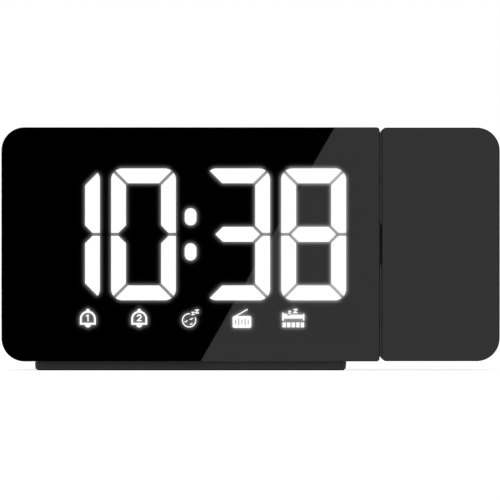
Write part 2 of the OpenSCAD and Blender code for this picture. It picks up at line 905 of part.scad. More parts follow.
module housing_openings() {
    cap_opening(mid_x, snooze_w, snooze_d);
    for (x = key_x) for (s = [-1, 1]) cap_opening(mid_x + s * x, key_w, key_d);
    translate([speaker_x, back_in - wall, axis_z]) grille_holes();
    rod_y(jack_x[2], back_in - 1, back_y + 1, jack_z, jack_d + 2 * drop_in_gap);
    box(
        [jack_x[1] - usb_w / 2 - drop_in_gap, back_in - 1, jack_z - usb_h / 2 - drop_in_gap],
        [jack_x[1] + usb_w / 2 + drop_in_gap, back_y + 1, jack_z + usb_h / 2 + drop_in_gap]
    );
    rod_y(jack_x[0], back_in - 1, back_y + 1, jack_z, grommet_d - 2);
    rod_y(jack_x[0], back_y - 1, back_y + 1, jack_z, grommet_d);
    case_posts(case_screw_d + 2 * through_gap, post_meet_y - 1, back_y);
    case_posts(case_head_d + 2 * drop_in_gap, case_head_y - case_head_t, back_y + 1);
    main_posts(small_screw_d - thread_depth, back_in - post_l - 1, back_in - post_l + small_screw_l);
    key_posts(small_screw_d - thread_depth, key_board_z, key_board_z + small_screw_l - board_t / 2);
    foot_posts(small_screw_d - thread_depth, body_z0 - 1, body_z0 + small_screw_l);
    rod_x(bush_in - 1, body_x1 + 1, axis_y, axis_z, bush_d);
}

module bay_form(y0, y1, w, h) {
    box([door_x - w / 2, y0, door_z - h / 2], [door_x + w / 2, y1, door_z + h / 2]);
}

module rear_housing() {
    bay_in_w = door_w - 2 * door_lip;
    bay_in_h = door_h - 2 * door_lip;
    color(shell_black) difference() {
        union() {
            slice_y(split_y, back_y) difference() {
                body_form(0);
                body_form(wall);
            }
            intersection() {
                body_form(wall / 2);
                union() {
                    case_posts(case_post_d, post_meet_y, back_y);
                    main_posts(small_post_d, back_in - post_l, back_y);
                    key_posts(small_post_d, key_board_z, body_z1);
                    foot_posts(small_post_d, body_z0, foot_post_z);
                    slice_y(split_y, back_y) rod_x(bush_in, body_x1, axis_y, axis_z, bush_d + 5);
                    difference() {
                        rod_y(speaker_x, back_in - 5, back_y, axis_z, speaker_seat_d + 2 * speaker_rib);
                        rod_y(speaker_x, back_in - 6, back_in, axis_z, speaker_seat_d);
                    }
                    bay_form(bay_y - bay_wall, back_y, bay_in_w + 2 * bay_wall, bay_in_h + 2 * bay_wall);
                }
            }
        }
        housing_openings();
        bay_form(bay_y, back_y + 1, bay_in_w, bay_in_h);
        bay_form(back_y - door_t - seat_gap, back_y + 1, door_w + 2 * cap_gap, door_h + 2 * cap_gap);
    }
}

module case_screws() {
    color(bright_steel) for (x = case_post_x) for (z = case_post_z)
        translate([x, case_head_y - case_head_t, z]) rotate([-90, 0, 0])
            screw(case_screw_d, case_head_d, case_head_t, case_head_y - case_head_t - post_meet_y + 6);
}

module foot_plan(i) {
    rounded(
        [mid_x - foot_w / 2 + i, i - foot_d / 2],
        [mid_x + foot_w / 2 - i, foot_d / 2 - i],
        foot_r - i,
        foot_r - i
    );
}

foot_head_z = pad_t + small_head_t;

module foot() {
    low = foot_w / 2 - foot_draft;
    high = foot_w / 2;
    foot_z0 = pad_proud;
    color("#242425") difference() {
        union() {
            intersection() {
                along_z(foot_z0, body_z0 - foot_step) foot_plan(0);
                along_y(-big, big) translate([mid_x, 0])
                    polygon([[-low, foot_z0], [low, foot_z0], [high, body_z0], [-high, body_z0]]);
            }
            along_z(body_z0 - 2 * foot_step, body_z0) foot_plan(foot_step);
        }
        along_z(0, pad_t) foot_plan(pad_inset);
        foot_posts(small_screw_d + 2 * through_gap, 0, body_z0 + 1);
        foot_posts(small_head_d + 2 * through_gap, 0, foot_head_z);
    }
}

module foot_screws() {
    for (x = foot_post_x) for (y = foot_post_y)
        translate([x, y, foot_head_z]) rotate([180, 0, 0]) small_screw();
}

module foot_pad() {
    color(rubber_black) along_z(0, pad_t) foot_plan(pad_inset + seat_gap);
}

// Boards and their parts

module main_board() {
    color(board_green) difference() {
        box([main_x0, main_board_y, main_z0], [main_x1, main_board_y + board_t, main_z1]);
        main_posts(small_screw_d + 2 * through_gap, main_board_y - 1, main_board_y + board_t + 1);
    }
}

cap_d = 6.3;
cap_h = 7;
chip_t = 1.4;

// A part on the main board's front, t deep, with its lower left corner at (x, z) from the board's corner
module front_part(x, z, w, h, t) {
    box([main_x0 + x, main_board_y - t, main_z0 + z], [main_x0 + x + w, main_board_y, main_z0 + z + h]);
}

module board_parts() {
    front = main_board_y;
    back = main_board_y + board_t;
    color("#26262a") {
        front_part(26, 30, 12, 12, chip_t);
        front_part(8, 36, 8, 5, chip_t);
        front_part(48, 16, 8, 5, chip_t);
    }
    color(bright_steel) front_part(8, 12, 16, 12, 3);
    color("#3b4a6b") for (z = [axis_z + 2, axis_z + 12]) rod_y(main_x1 - 10, back, back + cap_h, z, cap_d);
    color(light_white)
        box(
            [body_connector_x - 3.5, front - connector_y, axis_z - 2.4],
            [body_connector_x + 3.5, front, axis_z + 2.4]
        );
}

module board_screws() {
    for (x = display_post_x) for (z = display_post_z)
        translate([x, display_y + board_t, z]) rotate([-90, 0, 0]) small_screw();
    for (x = main_post_x) for (z = main_post_z)
        translate([x, main_board_y, z]) rotate([90, 0, 0]) small_screw();
    for (x = key_post_x)
        translate([mid_x + x, key_post_y, key_board_z - board_t]) rotate([180, 0, 0]) small_screw();
}

module power_jack() {
    back = main_board_y + board_t;
    half = 4.6;
    color("#1c1c1e") difference() {
        union() {
            box(
                [jack_x[2] - half, back, jack_z - half],
                [jack_x[2] + half, back_in - seat_gap, jack_z + half]
            );
            rod_y(jack_x[2], back, mouth_y, jack_z, jack_d);
        }
        rod_y(jack_x[2], back + 3, back_y, jack_z, jack_bore);
    }
    color(brass) rod_y(jack_x[2], back + 3, mouth_y - 1, jack_z, jack_pin);
}

module usb_port() {
    back = main_board_y + board_t;
    skin = 0.4;
    x = jack_x[1];
    color(bright_steel) difference() {
        box([x - usb_w / 2, back, jack_z - usb_h / 2], [x + usb_w / 2, mouth_y, jack_z + usb_h / 2]);
        box(
            [x - usb_w / 2 + skin, back + 2, jack_z - usb_h / 2 + skin],
            [x + usb_w / 2 - skin, back_y, jack_z + usb_h / 2 - skin]
        );
    }
    color(light_white)
        box([x - usb_w / 2 + 1, back + 2, jack_z + 0.1], [x + usb_w / 2 - 1, mouth_y - 1.4, jack_z + 1.9]);
}

module antenna_grommet() {
    color(rubber_black) difference() {
        union() {
            rod_y(jack_x[0], back_y - 1 + seat_gap, back_y, jack_z, grommet_d - 2 * seat_gap);
            rod_y(jack_x[0], back_in - 1.2, back_y - 0.5, jack_z, grommet_d - 2 - 2 * seat_gap);
            rod_y(jack_x[0], back_in - 1.2, back_in - seat_gap, jack_z, grommet_d - 0.8);
        }
        rod_y(jack_x[0], back_in - 3, back_y + 1, jack_z, grommet_bore);
    }
}

// Speaker: profiles are turned about the speaker's axis, with their depth measured from the grille
module turned(depth_0) {
    translate([speaker_x, depth_0, axis_z]) rotate([90, 0, 0]) rotate_extrude() children();
}

speaker_y = back_in - seat_gap;
magnet_r = speaker_d / 4;
magnet_t = 5;

module speaker_basket() {
    r = speaker_d / 2;
    basket = speaker_t - magnet_t;
    color(bright_steel) turned(speaker_y) polygon([
        [r, 0], [r, 1.5], [r - 2.2, 1.5], [magnet_r, basket], [magnet_r - 4, basket],
        [magnet_r - 4, basket - 1], [magnet_r - 0.6, basket - 1], [r - 3.4, 1.1], [r - 3.4, 0]
    ]);
}

module speaker_cone() {
    r = speaker_d / 2 - 3.4 - seat_gap;
    inner = magnet_r - 4.4;
    rise = speaker_t - magnet_t - 4.4;
    color("#2f2f33") turned(speaker_y) polygon([
        [r, 0.4], [r, 1], [r - 2, 1], [inner, rise + 0.6],
        [0, rise - 0.4], [0, rise - 1], [inner, rise], [r - 2, 0.4]
    ]);
}

module speaker_magnet() {
    color("#6d7075") turned(speaker_y) polygon([
        [0, 5.2], [2.6, 5.2], [2.6, speaker_t - magnet_t], [magnet_r, speaker_t - magnet_t],
        [magnet_r, speaker_t], [0, speaker_t]
    ]);
}

// Coin cell bay

module cell_holder() {
    y0 = bay_y + seat_gap;
    color(light_white) difference() {
        rod_y(door_x, y0, y0 + contact_t + cell_t, door_z, cell_d + 2.6);
        rod_y(door_x, y0 + contact_t, back_y, door_z, cell_d + 2 * through_gap);
        box([door_x - 4, y0 - 1, door_z - big], [door_x + 4, back_y, door_z]);
    }
}

module coin_cell() {
    y0 = bay_y + 2 * seat_gap + contact_t;
    color(bright_steel) {
        rod_y(door_x, y0, y0 + 0.8, door_z, cell_d - 2.4);
        rod_y(door_x, y0 + 0.8, y0 + cell_t, door_z, cell_d);
    }
}

// The door has two ribs that clip into the bay, and three grip grooves near its top
module battery_door() {
    rib = 1.1;
    rib_x = door_w / 2 - door_lip - drop_in_gap - rib;
    inner_y = back_y - door_t;
    groove = 0.8;
    color(key_grey) difference() {
        union() {
            bay_form(inner_y, back_y, door_w, door_h);
            for (s = [0, 1]) translate([door_x, 0, door_z]) mirror([s, 0, 0])
                box([rib_x, inner_y - 2, -door_h / 3], [rib_x + rib, inner_y, door_h / 3]);
        }
        for (k = [1:3]) translate([door_x, 0, door_z + door_h / 2 - 2 * groove - k * 2 * groove])
            box([-door_w / 5, back_y - groove / 2, 0], [door_w / 5, back_y + 1, groove]);
    }
}

// Keys

module key_board() {
    y0 = key_y - switch_w / 2 - 2;
    y1 = key_post_y + small_post_d / 2;
    color(board_green) difference() {
        box([mid_x - key_board_half, y0, key_board_z - board_t], [mid_x + key_board_half, y1, key_board_z]);
        key_posts(small_screw_d + 2 * through_gap, key_board_z - board_t - 1, key_board_z + 1);
    }
}

module tact_switch() {
    difference() {
        translate([-switch_w / 2, -switch_w / 2, 0]) cube([switch_w, switch_w, switch_h]);
        translate([0, 0, 0.4]) cylinder(d = stem_d + 2 * drop_in_gap, h = switch_h);
    }
}

module key_switches() {
    color(switch_grey) {
        for (s = [-1, 1]) translate([mid_x + s * snooze_stem, key_y, key_board_z]) tact_switch();
        for (x = key_x) for (s = [-1, 1]) translate([mid_x + s * x, key_y, key_board_z]) tact_switch();
    }
}

// A cap that stands in an opening of the top, with its retaining rim and its stems
module cap(x, w, d, stems) {
    rim = 2 * (cap_gap + rim_w);
    top = body_z1 - cap_drop;
    key_form(x, key_y, w, d, rim_z0, top, cap_r);
    key_form(x, key_y, w + rim, d + rim, rim_z0, rim_z0 + rim_t, cap_r + rim / 2);
    for (s = stems) rod_z(x + s, key_y, switch_top - stem_entry, rim_z0 + rim_t, stem_d);
}

module snooze_bar() {
    color(key_grey) cap(mid_x, snooze_w, snooze_d, [-snooze_stem, snooze_stem]);
}

module top_key(offset) {
    color(key_grey) cap(mid_x + offset, key_w, key_d, [0]);
}

module minus_key() {
    top_key(-key_x[2]);
}

module plus_key() {
    top_key(-key_x[1]);
}

module sleep_key() {
    top_key(-key_x[0]);
}

module radio_key() {
    top_key(key_x[0]);
}

module alarm_1_key() {
    top_key(key_x[1]);
}

module alarm_2_key() {
    top_key(key_x[2]);
}

// Swivel

module hub_bush() {
    color("#d8d4c6") difference() {
        union() {
            rod_x(bush_in, body_x1, axis_y, axis_z, bush_d);
            rod_x(bush_in - bush_flange_t, bush_in, axis_y, axis_z, bush_d + 3.2);
        }
        rod_x(bush_in - 2, body_x1 + 1, axis_y, axis_z, shaft_d + 2 * run_gap);
    }
}

module friction_washer() {
    color(bright_steel) difference() {
        rod_x(washer_x, washer_x + washer_t, axis_y, axis_z, bush_d + 2.4);
        rod_x(washer_x - 1, washer_x + 2, axis_y, axis_z, shaft_d + 2 * through_gap);
    }
}

clip_groove = 0.8;

module swivel_shaft() {
    color("#c6c8cb") difference() {
        union() {
            rod_x(shaft_x0, flange_x + flange_t, axis_y, axis_z, shaft_d);
            rod_x(flange_x, flange_x + flange_t, axis_y, axis_z, flange_d);
        }
        rod_x(shaft_x0 - 1, flange_x + flange_t + 1, axis_y, axis_z, shaft_bore);
        difference() {
            rod_x(clip_x, clip_x + clip_t, axis_y, axis_z, shaft_d + 1);
            rod_x(clip_x - 1, clip_x + clip_t + 1, axis_y, axis_z, shaft_d - 2 * clip_groove);
        }
        flange_holes(small_screw_d + 2 * through_gap, flange_x - 1, flange_x + flange_t + 1);
    }
}

module flange_holes(d, x0, x1) {
    for (turn = flange_turns)
        translate([0, axis_y, axis_z]) rotate([turn, 0, 0]) rod_x(x0, x1, flange_screw_r, 0, d);
}

// A spring clip, open at one side, that holds the shaft in the bush
module retaining_clip() {
    color("#8f9296") difference() {
        rod_x(clip_x + seat_gap, clip_x + clip_t - seat_gap, axis_y, axis_z, shaft_d + 4);
        rod_x(clip_x - 1, clip_x + 2, axis_y, axis_z, shaft_d - 2 * clip_groove + 2 * seat_gap);
        box([clip_x - 1, axis_y - shaft_d / 4, axis_z], [clip_x + 2, axis_y + shaft_d / 4, axis_z + shaft_d]);
    }
}

// A lead along the swivel axis from x0 that bends back to end at x_end on the plane end_y
module lead(x0, x_end, end_y) {
    bend_x = x_end - lead_bend;
    color("#7d7f83") {
        rod_x(x0, bend_x, axis_y, axis_z, lead_d);
        translate([bend_x, axis_y + lead_bend, axis_z])
            rotate(-90) rotate_extrude(angle = 90) translate([lead_bend, 0]) circle(d = lead_d);
        rod_y(x_end, axis_y + lead_bend, end_y, axis_z, lead_d);
    }
}

module body_lead() {
    mirror([1, 0, 0]) lead(-lead_split_x, -body_connector_x, main_board_y - connector_y);
}

module head_lead() {
    lead(lead_split_x, head_connector_x, head_board_y - connector_y);
}

// Projector head

module head_posts(d, y0, y1) {
    for (x = head_post_x) for (z = head_post_z) rod_y(x, y0, y1, z, d);
}

// Ribs that tie the front shell's screw posts to its side walls
module head_ribs() {
    for (x = head_post_x) for (z = head_post_z) {
        side_x = x < optic_x ? head_x0 : head_x1;
        box([min(x, side_x), cover_y - 9, z - rib_t / 2], [max(x, side_x), cover_y, z + rib_t / 2]);
    }
}

module optic_posts(d, z0, z1) {
    for (s = [-1, 1]) rod_z(optic_x + s * optic_post_x, optic_y, z0, z1, d);
}

module carrier_posts(d, z0, z1) {
    for (s = [-1, 1]) rod_z(optic_x + s * carrier_screw_x, optic_y - carrier_screw_y, z0, z1, d);
}

module head_front() {
    color(shell_black) difference() {
        union() {
            slice_y(front_y, cover_y) difference() {
                head_form(0);
                head_form(wall);
            }
            along_x(head_x0 - filler_t, head_x0 + wall / 2) difference() {
                filler_outline();
                translate([axis_y, axis_z]) circle(d = recess_d);
            }
            slice_y(front_y, cover_y) intersection() {
                head_form(wall / 2);
                union() {
                    head_posts(head_post_d, cover_y - 9, cover_y);
                    head_ribs();
                    optic_posts(small_post_d, head_z0, sink_z1 - sink_plate);
                    carrier_posts(small_post_d, carrier_z1 + carrier_t, head_z1);
                }
            }
        }
        rod_x(head_x0 - 2, flange_x + 1, axis_y, axis_z, shaft_d + 2 * through_gap);
        flange_holes(small_screw_d - thread_depth, flange_x - wall * 0.75, flange_x + 1);
        head_posts(small_screw_d - thread_depth, cover_y - 7, cover_y + 1);
        optic_posts(small_screw_d - thread_depth, head_z0 + wall, sink_z1);
        carrier_posts(small_screw_d - thread_depth, carrier_z1, carrier_z1 + carrier_t + small_screw_l);
        rod_z(optic_x, optic_y, head_in_z1 - 1, head_z1 + 1, trim_d - 4);
        rod_z(optic_x, optic_y, head_z1 - trim_t, head_z1 + 1, trim_d);
    }
}

// The slit filler's outline: the head's side view, set in, in front of the back cover
module filler_outline() {
    i = filler_inset;
    intersection() {
        rounded([front_y + i, head_z0 + i], [back_y - i, head_z1 - i], 0, back_r - i);
        translate([front_y, head_z0]) square([cover_y - front_y, head_h]);
    }
}

module head_keys(d, y0, y1) {
    rod_y(optic_x, y0, y1, head_key_z, d);
}

// The head board's screw on side s, low on the right and high on the left, clear of the case's screws
function head_board_hole_z(s) = s > 0 ? head_board_z[0] + 2.6 : head_board_z[1] - 2.6;

module head_board_posts(d, y0, y1) {
    for (s = [-1, 1])
        rod_y(optic_x + s * head_board_hole_x, y0, y1, head_board_hole_z(s), d);
}

// The opening at the focus ring from y0 out through the back, wider by grow on every side
module slot(y0, z0, z1, grow) {
    half = ring_slot_w / 2 + grow;
    box([optic_x - half, y0, z0 - grow], [optic_x + half, back_y + 1, z1 + grow]);
}

module head_back() {
    slot_z0 = carrier_z0 + carrier_t - ring_slot_gap;
    slot_z1 = carrier_z1 + ring_slot_gap;
    color(shell_black) difference() {
        union() {
            slice_y(cover_y, back_y) difference() {
                head_form(0);
                head_form(wall);
            }
            slice_y(head_board_y + board_t, back_y) intersection() {
                head_form(wall / 2);
                union() {
                    slice_y(cover_y, back_y) head_posts(head_post_d, cover_y, back_y);
                    head_board_posts(small_post_d, head_board_y + board_t, back_y);
                }
            }
        }
        head_posts(small_screw_d + 2 * through_gap, cover_y - 1, back_y);
        head_posts(small_head_d + 2 * drop_in_gap, head_head_y - small_head_t, back_y + 1);
        head_board_posts(small_screw_d - thread_depth, head_board_y, head_board_y + board_t + small_screw_l);
        head_keys(head_key_d + 2 * cap_gap, back_in - 1, back_y + 1);
        slot(back_in - 4, slot_z0, slot_z1, 0);
        slot(back_y - scallop_t, slot_z0, slot_z1, scallop);
        for (k = [0:4]) translate([optic_x, 0, vent_z0 + k * vent_pitch])
            box([-vent_l / 2, back_in - 1, 0], [vent_l / 2, back_y + 1, vent_w]);
    }
}

module head_screws() {
    for (x = head_post_x) for (z = head_post_z)
        translate([x, head_head_y - small_head_t, z]) rotate([-90, 0, 0]) color(bright_steel)
            screw(small_screw_d, small_head_d, small_head_t, head_head_y - small_head_t - cover_y + 5);
    for (turn = flange_turns)
        translate([flange_x + flange_t, axis_y, axis_z]) rotate([turn, 0, 0])
            translate([0, flange_screw_r, 0]) rotate([0, 90, 0]) color(bright_steel)
                screw(small_screw_d, small_head_d, small_head_t, flange_t + wall / 2);
    for (s = [-1, 1]) {
        translate([optic_x + s * optic_post_x, optic_y, tunnel_z0 + sink_plate]) color(bright_steel)
            screw(small_screw_d, small_head_d, small_head_t, 2 * sink_plate + board_t + 4);
        translate([optic_x + s * carrier_screw_x, optic_y - carrier_screw_y, carrier_z1])
            rotate([180, 0, 0]) small_screw();
        translate([optic_x + s * head_board_hole_x, head_board_y, head_board_hole_z(s)])
            rotate([90, 0, 0]) small_screw();
    }
}

module optic_plate(w, z0, z1) {
    box(
        [optic_x - w / 2, optic_y - tunnel_w / 2, z0],
        [optic_x + w / 2, optic_y + tunnel_w / 2, z1]
    );
}

module heat_sink() {
    fins = 6;
    fin_w = 1.6;
    fin_pitch = (tunnel_w - 4 - fin_w) / (fins - 1);
    color(aluminium) difference() {
        union() {
            optic_plate(optic_plate_w, sink_z1 - sink_plate, sink_z1);
            for (k = [0:fins - 1]) translate([(k - (fins - 1) / 2) * fin_pitch, 0, 0])
                optic_plate(fin_w, sink_z0, sink_z1 - sink_plate);
        }
        optic_posts(small_screw_d + 2 * through_gap, sink_z0, sink_z1 + 1);
    }
}

module led_board() {
    color("#e8e8e4") difference() {
        optic_plate(optic_plate_w, sink_z1, led_z);
        optic_posts(small_screw_d + 2 * through_gap, sink_z1 - 1, led_z + 1);
    }
}

module led_emitter() {
    color("#f2e27a") {
        translate([optic_x - 2.5, optic_y - 2.5, led_z]) cube([5, 5, 1]);
        translate([optic_x, optic_y, led_z + 1]) intersection() {
            sphere(2);
            cylinder(r = 3, h = 3);
        }
    }
}

// A ledge inside the light tunnel that a lens or a panel rests on
module tunnel_ledge(z) {
    inner = tunnel_w - 2 * tunnel_wall;
    difference() {
        optic_ring(tunnel_w - tunnel_wall, z, z + ledge_t);
        optic_ring(inner - 2 * ledge_w, z - 1, z + ledge_t + 1);
    }
}

module optic_ring(w, z0, z1) {
    box([optic_x - w / 2, optic_y - w / 2, z0], [optic_x + w / 2, optic_y + w / 2, z1]);
}

module light_tunnel() {
    color("#2c2c2e") difference() {
        union() {
            difference() {
                union() {
                    optic_ring(tunnel_w, tunnel_z0, tunnel_z1);
                    optic_plate(optic_plate_w, tunnel_z0, tunnel_z0 + sink_plate);
                }
                optic_ring(tunnel_w - 2 * tunnel_wall, tunnel_z0 - 1, tunnel_z1 + 1);
            }
            tunnel_ledge(condenser_z - ledge_t);
            tunnel_ledge(lcd_z - ledge_t);
        }
        optic_posts(small_screw_d + 2 * through_gap, tunnel_z0 - 1, tunnel_z0 + sink_plate + 1);
    }
}

// A lens with a flat underside and a domed top, of diameter d, edge e and middle thickness t
module domed_lens(d, e, t) {
    rise = t - e;
    r = (d * d / 4 + rise * rise) / (2 * rise);
    rotate_extrude() intersection() {
        translate([0, t - r]) circle(r);
        square([d / 2, t]);
    }
}

module condenser_lens() {
    d = tunnel_w - 2 * tunnel_wall - 2 * seat_gap;
    color(clear_glass) translate([optic_x, optic_y, condenser_z]) domed_lens(d, 1.2, condenser_t);
}

module lcd_panel() {
    color("#54606b") optic_ring(tunnel_w - 2 * tunnel_wall - 2 * seat_gap, lcd_z, lcd_z + lcd_t);
}

module lens_carrier() {
    color("#3a3b3e") difference() {
        union() {
            for (z = [carrier_z0, carrier_z1]) along_z(z, z + carrier_t) rounded(
                [optic_x - carrier_half, optic_y - carrier_screw_y - 3],
                [optic_x + carrier_half, optic_y + pillar_y + pillar_d / 2],
                pillar_d / 2,
                pillar_d / 2
            );
            for (s = [-1, 1]) for (n = [-1, 1])
                rod_z(
                    optic_x + s * pillar_x, optic_y + n * pillar_y,
                    carrier_z0 + carrier_t / 2, carrier_z1 + carrier_t / 2, pillar_d
                );
            rod_z(optic_x, optic_y, carrier_z0 - guide_l, carrier_z0 + carrier_t, barrel_d + 2 * guide_wall);
        }
        rod_z(optic_x, optic_y, carrier_z0 - guide_l - 1, carrier_z0 + carrier_t + 1, barrel_d + 2 * run_gap);
        rod_z(optic_x, optic_y, carrier_z1 - 1, carrier_z1 + carrier_t + 1, barrel_d + 1);
        carrier_posts(small_screw_d + 2 * through_gap, carrier_z1 - 1, carrier_z1 + carrier_t + 1);
    }
}

// The barrel has a stop between its two lenses, at its middle
module lens_barrel() {
    z1 = barrel_z0 + barrel_l;
    middle = barrel_z0 + barrel_l / 2;
    bore = barrel_d - 2 * barrel_wall;
    color("#1d1d1f") difference() {
        rod_z(optic_x, optic_y, barrel_z0, z1, barrel_d);
        rod_z(optic_x, optic_y, barrel_z0 - 1, z1 + 1, bore - 2);
        rod_z(optic_x, optic_y, middle + lens_stop, z1 + 1, bore);
        rod_z(optic_x, optic_y, barrel_z0 - 1, middle - lens_stop, bore);
    }
}

module projection_lenses() {
    color(clear_glass) translate([optic_x, optic_y, barrel_z0 + barrel_l / 2]) {
        translate([0, 0, lens_stop]) domed_lens(lens_d, 2.4, 5);
        translate([0, 0, -lens_stop]) mirror([0, 0, 1]) domed_lens(lens_d, 2, 4.4);
    }
}

module focus_ring() {
    z0 = carrier_z0 + carrier_t + drop_in_gap;
    r = ring_d / 2;
    bore = barrel_d / 2 + 0.3;
    dish = 1.5;
    color(key_grey) difference() {
        translate([optic_x, optic_y, z0]) rotate_extrude() polygon([
            [bore, 0], [bore + 2.4, 0], [bore + 2.4, dish], [r - 3, dish], [r - 3, 0], [r, 0],
            [r, ring_h], [r - 3, ring_h], [r - 3, ring_h - dish], [bore + 2.4, ring_h - dish],
            [bore + 2.4, ring_h], [bore, ring_h]
        ]);
        for (k = [0:ring_grooves - 1]) translate([optic_x, optic_y, 0]) rotate(k * 360 / ring_grooves)
            rod_z(r + 0.2, 0, z0 - 1, z0 + ring_h + 1, 1.1);
    }
}

module trim_ring() {
    r = trim_d / 2 - seat_gap;
    low = trim_d / 2 - 2.6;
    color("#4a4b4e") translate([optic_x, optic_y, head_z1 - trim_t + seat_gap])
        rotate_extrude() polygon([[low, 0], [r, 0], [r, trim_t - 0.25], [r - 0.8, trim_t - 0.25]]);
}

module head_board() {
    z = head_board_z;
    color(board_green) difference() {
        box(
            [optic_x - head_board_half, head_board_y, z[0]],
            [optic_x + head_board_half, head_board_y + board_t, z[1]]
        );
        head_board_posts(small_screw_d + 2 * through_gap, head_board_y - 1, head_board_y + board_t + 1);
    }
    color(switch_grey) translate([optic_x, head_board_y + board_t, head_key_z])
        rotate([-90, 0, 0]) tact_switch();
    color(light_white) box(
        [head_connector_x - 3, head_board_y - connector_y, axis_z - 2.4],
        [head_connector_x + 3, head_board_y, axis_z + 2.4]
    );
}

module projector_key() {
    rim_y = back_in - seat_gap;
    switch_y = head_board_y + board_t + switch_h;
    color(key_grey) {
        head_keys(head_key_d, rim_y - rim_t, back_y - cap_drop);
        head_keys(head_key_d + 2 * (cap_gap + rim_w), rim_y - rim_t, rim_y);
        head_keys(stem_d, switch_y - stem_entry, rim_y);
    }
}

front_lens();
front_frame();
display_film();
digit_hour_tens();
digit_hour_units();
digit_minute_tens();
digit_minute_units();
colon_dots();
icon_inserts();
digit_reflector();
display_board();
display_leds();
board_screws();
rear_housing();
case_screws();
foot();
foot_screws();
foot_pad();
main_board();
board_parts();
power_jack();
usb_port();
antenna_grommet();
speaker_basket();
speaker_cone();
speaker_magnet();
cell_holder();
coin_cell();
battery_door();
key_board();
key_switches();
snooze_bar();
minus_key();
plus_key();
sleep_key();
radio_key();
alarm_1_key();
alarm_2_key();
hub_bush();
friction_washer();
body_lead();
swivel_shaft();
retaining_clip();
head_lead();
head_front();
head_back();
head_screws();
heat_sink();
led_board();
led_emitter();
light_tunnel();
condenser_lens();
lcd_panel();
lens_carrier();
lens_barrel();
projection_lenses();
focus_ring();
trim_ring();
head_board();
projector_key();
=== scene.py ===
import math

import bmesh
import bpy
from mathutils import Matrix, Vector
from mathutils.bvhtree import BVHTree
from mathutils.geometry import delaunay_2d_cdt
from mathutils.kdtree import KDTree


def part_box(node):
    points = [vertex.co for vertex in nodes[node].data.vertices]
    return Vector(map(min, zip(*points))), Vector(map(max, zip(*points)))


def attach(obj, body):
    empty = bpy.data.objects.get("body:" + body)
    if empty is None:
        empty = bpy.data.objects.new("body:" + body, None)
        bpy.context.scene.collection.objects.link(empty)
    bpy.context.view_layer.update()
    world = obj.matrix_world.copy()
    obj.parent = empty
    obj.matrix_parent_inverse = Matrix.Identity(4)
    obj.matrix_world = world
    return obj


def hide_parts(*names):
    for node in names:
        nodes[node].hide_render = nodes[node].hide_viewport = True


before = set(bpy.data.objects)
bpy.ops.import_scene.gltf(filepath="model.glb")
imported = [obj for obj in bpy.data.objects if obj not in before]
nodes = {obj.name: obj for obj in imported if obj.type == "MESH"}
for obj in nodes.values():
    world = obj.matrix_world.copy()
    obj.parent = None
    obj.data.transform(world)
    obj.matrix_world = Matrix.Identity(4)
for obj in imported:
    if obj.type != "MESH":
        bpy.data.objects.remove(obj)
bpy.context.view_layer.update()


# Camera: a long lens straight in front of the clock, level with the middle of its body. The clock spans
# the view from edge to edge, and none of its sides shows.
lens_length, sensor_width = 600.6, 36
camera_place = (-0.00023, -3.2008, 0.04592)
camera_data = bpy.data.cameras.new("camera")
camera_data.sensor_width = sensor_width
camera_data.lens = lens_length
camera_data.clip_end = 100
camera = bpy.data.objects.new("camera", camera_data)
camera.location = camera_place
camera.rotation_euler = (math.radians(90), 0, 0)
bpy.context.scene.collection.objects.link(camera)
bpy.context.scene.camera = camera
bpy.context.scene.view_settings.view_transform = "Standard"


# Room: white walls all round, which the camera, gloss and glass see as plain white, and which light the
# clock a good deal less than that.
class Wire:
    """A socket of a shader. Python's operators on it add Math nodes, or Vector Math nodes if it carries a
    vector or a colour, and node() adds any other kind."""

    def __init__(self, tree, socket=None):
        self.tree = tree
        self.socket = socket

    def node(self, kind, settings=None, values=None, output=0):
        new = self.tree.nodes.new("ShaderNode" + kind)
        for name, value in (settings or {}).items():
            setattr(new, name, value)
        for name, value in (values or {}).items():
            if isinstance(value, Wire):
                self.tree.links.new(value.socket, new.inputs[name])
            elif new.inputs[name].type == "RGBA":
                new.inputs[name].default_value = (*value, 1)
            else:
                new.inputs[name].default_value = value
        return Wire(self.tree, new.outputs[output] if new.outputs else None)

    def math(self, operation, *values):
        if self.socket.type == "VALUE":
            return self.node("Math", {"operation": operation}, dict(enumerate(values)))
        values = [v if isinstance(v, (Wire, tuple)) else (v, v, v) for v in values]
        return self.node("VectorMath", {"operation": operation}, dict(enumerate(values)))

    def __add__(self, other):
        return self.math("ADD", self, other)

    def __radd__(self, other):
        return self.math("ADD", other, self)

    def __sub__(self, other):
        return self.math("SUBTRACT", self, other)

    def __rsub__(self, other):
        return self.math("SUBTRACT", other, self)

    def __mul__(self, other):
        return self.math("MULTIPLY", self, other)

    def __rmul__(self, other):
        return self.math("MULTIPLY", other, self)

    def __truediv__(self, other):
        return self.math("DIVIDE", self, other)

    def __pow__(self, other):
        return self.math("POWER", self, other)

    def __lt__(self, other):
        return self.math("LESS_THAN", self, other)

    def __gt__(self, other):
        return self.math("GREATER_THAN", self, other)

    def __abs__(self):
        return self.math("ABSOLUTE", self)


def either(first, second):
    return first.math("MAXIMUM", first, second)


def between(low, high, share):
    """The colour low where share is 0 and high where it is 1. Mix has its colours in sockets 6 and 7."""
    return share.node("Mix", {"data_type": "RGBA"}, {0: share, 6: low, 7: high}, 2)


white = (1.0, 1.0, 1.0)
room_light = 0.55
room = bpy.data.worlds.new("room")
room.use_nodes = True
room.node_tree.nodes.clear()
bpy.context.scene.world = room
start = Wire(room.node_tree)
camera_sees = start.node("LightPath", output="Is Camera Ray")
mirror_sees = either(
    start.node("LightPath", output="Is Glossy Ray"), start.node("LightPath", output="Is Transmission Ray")
)
strength = room_light + either(camera_sees, mirror_sees) * (1 - room_light)
wall_light = start.node("Background", {}, {"Color": white, "Strength": strength})
wall_light.node("OutputWorld", {}, {"Surface": wall_light})


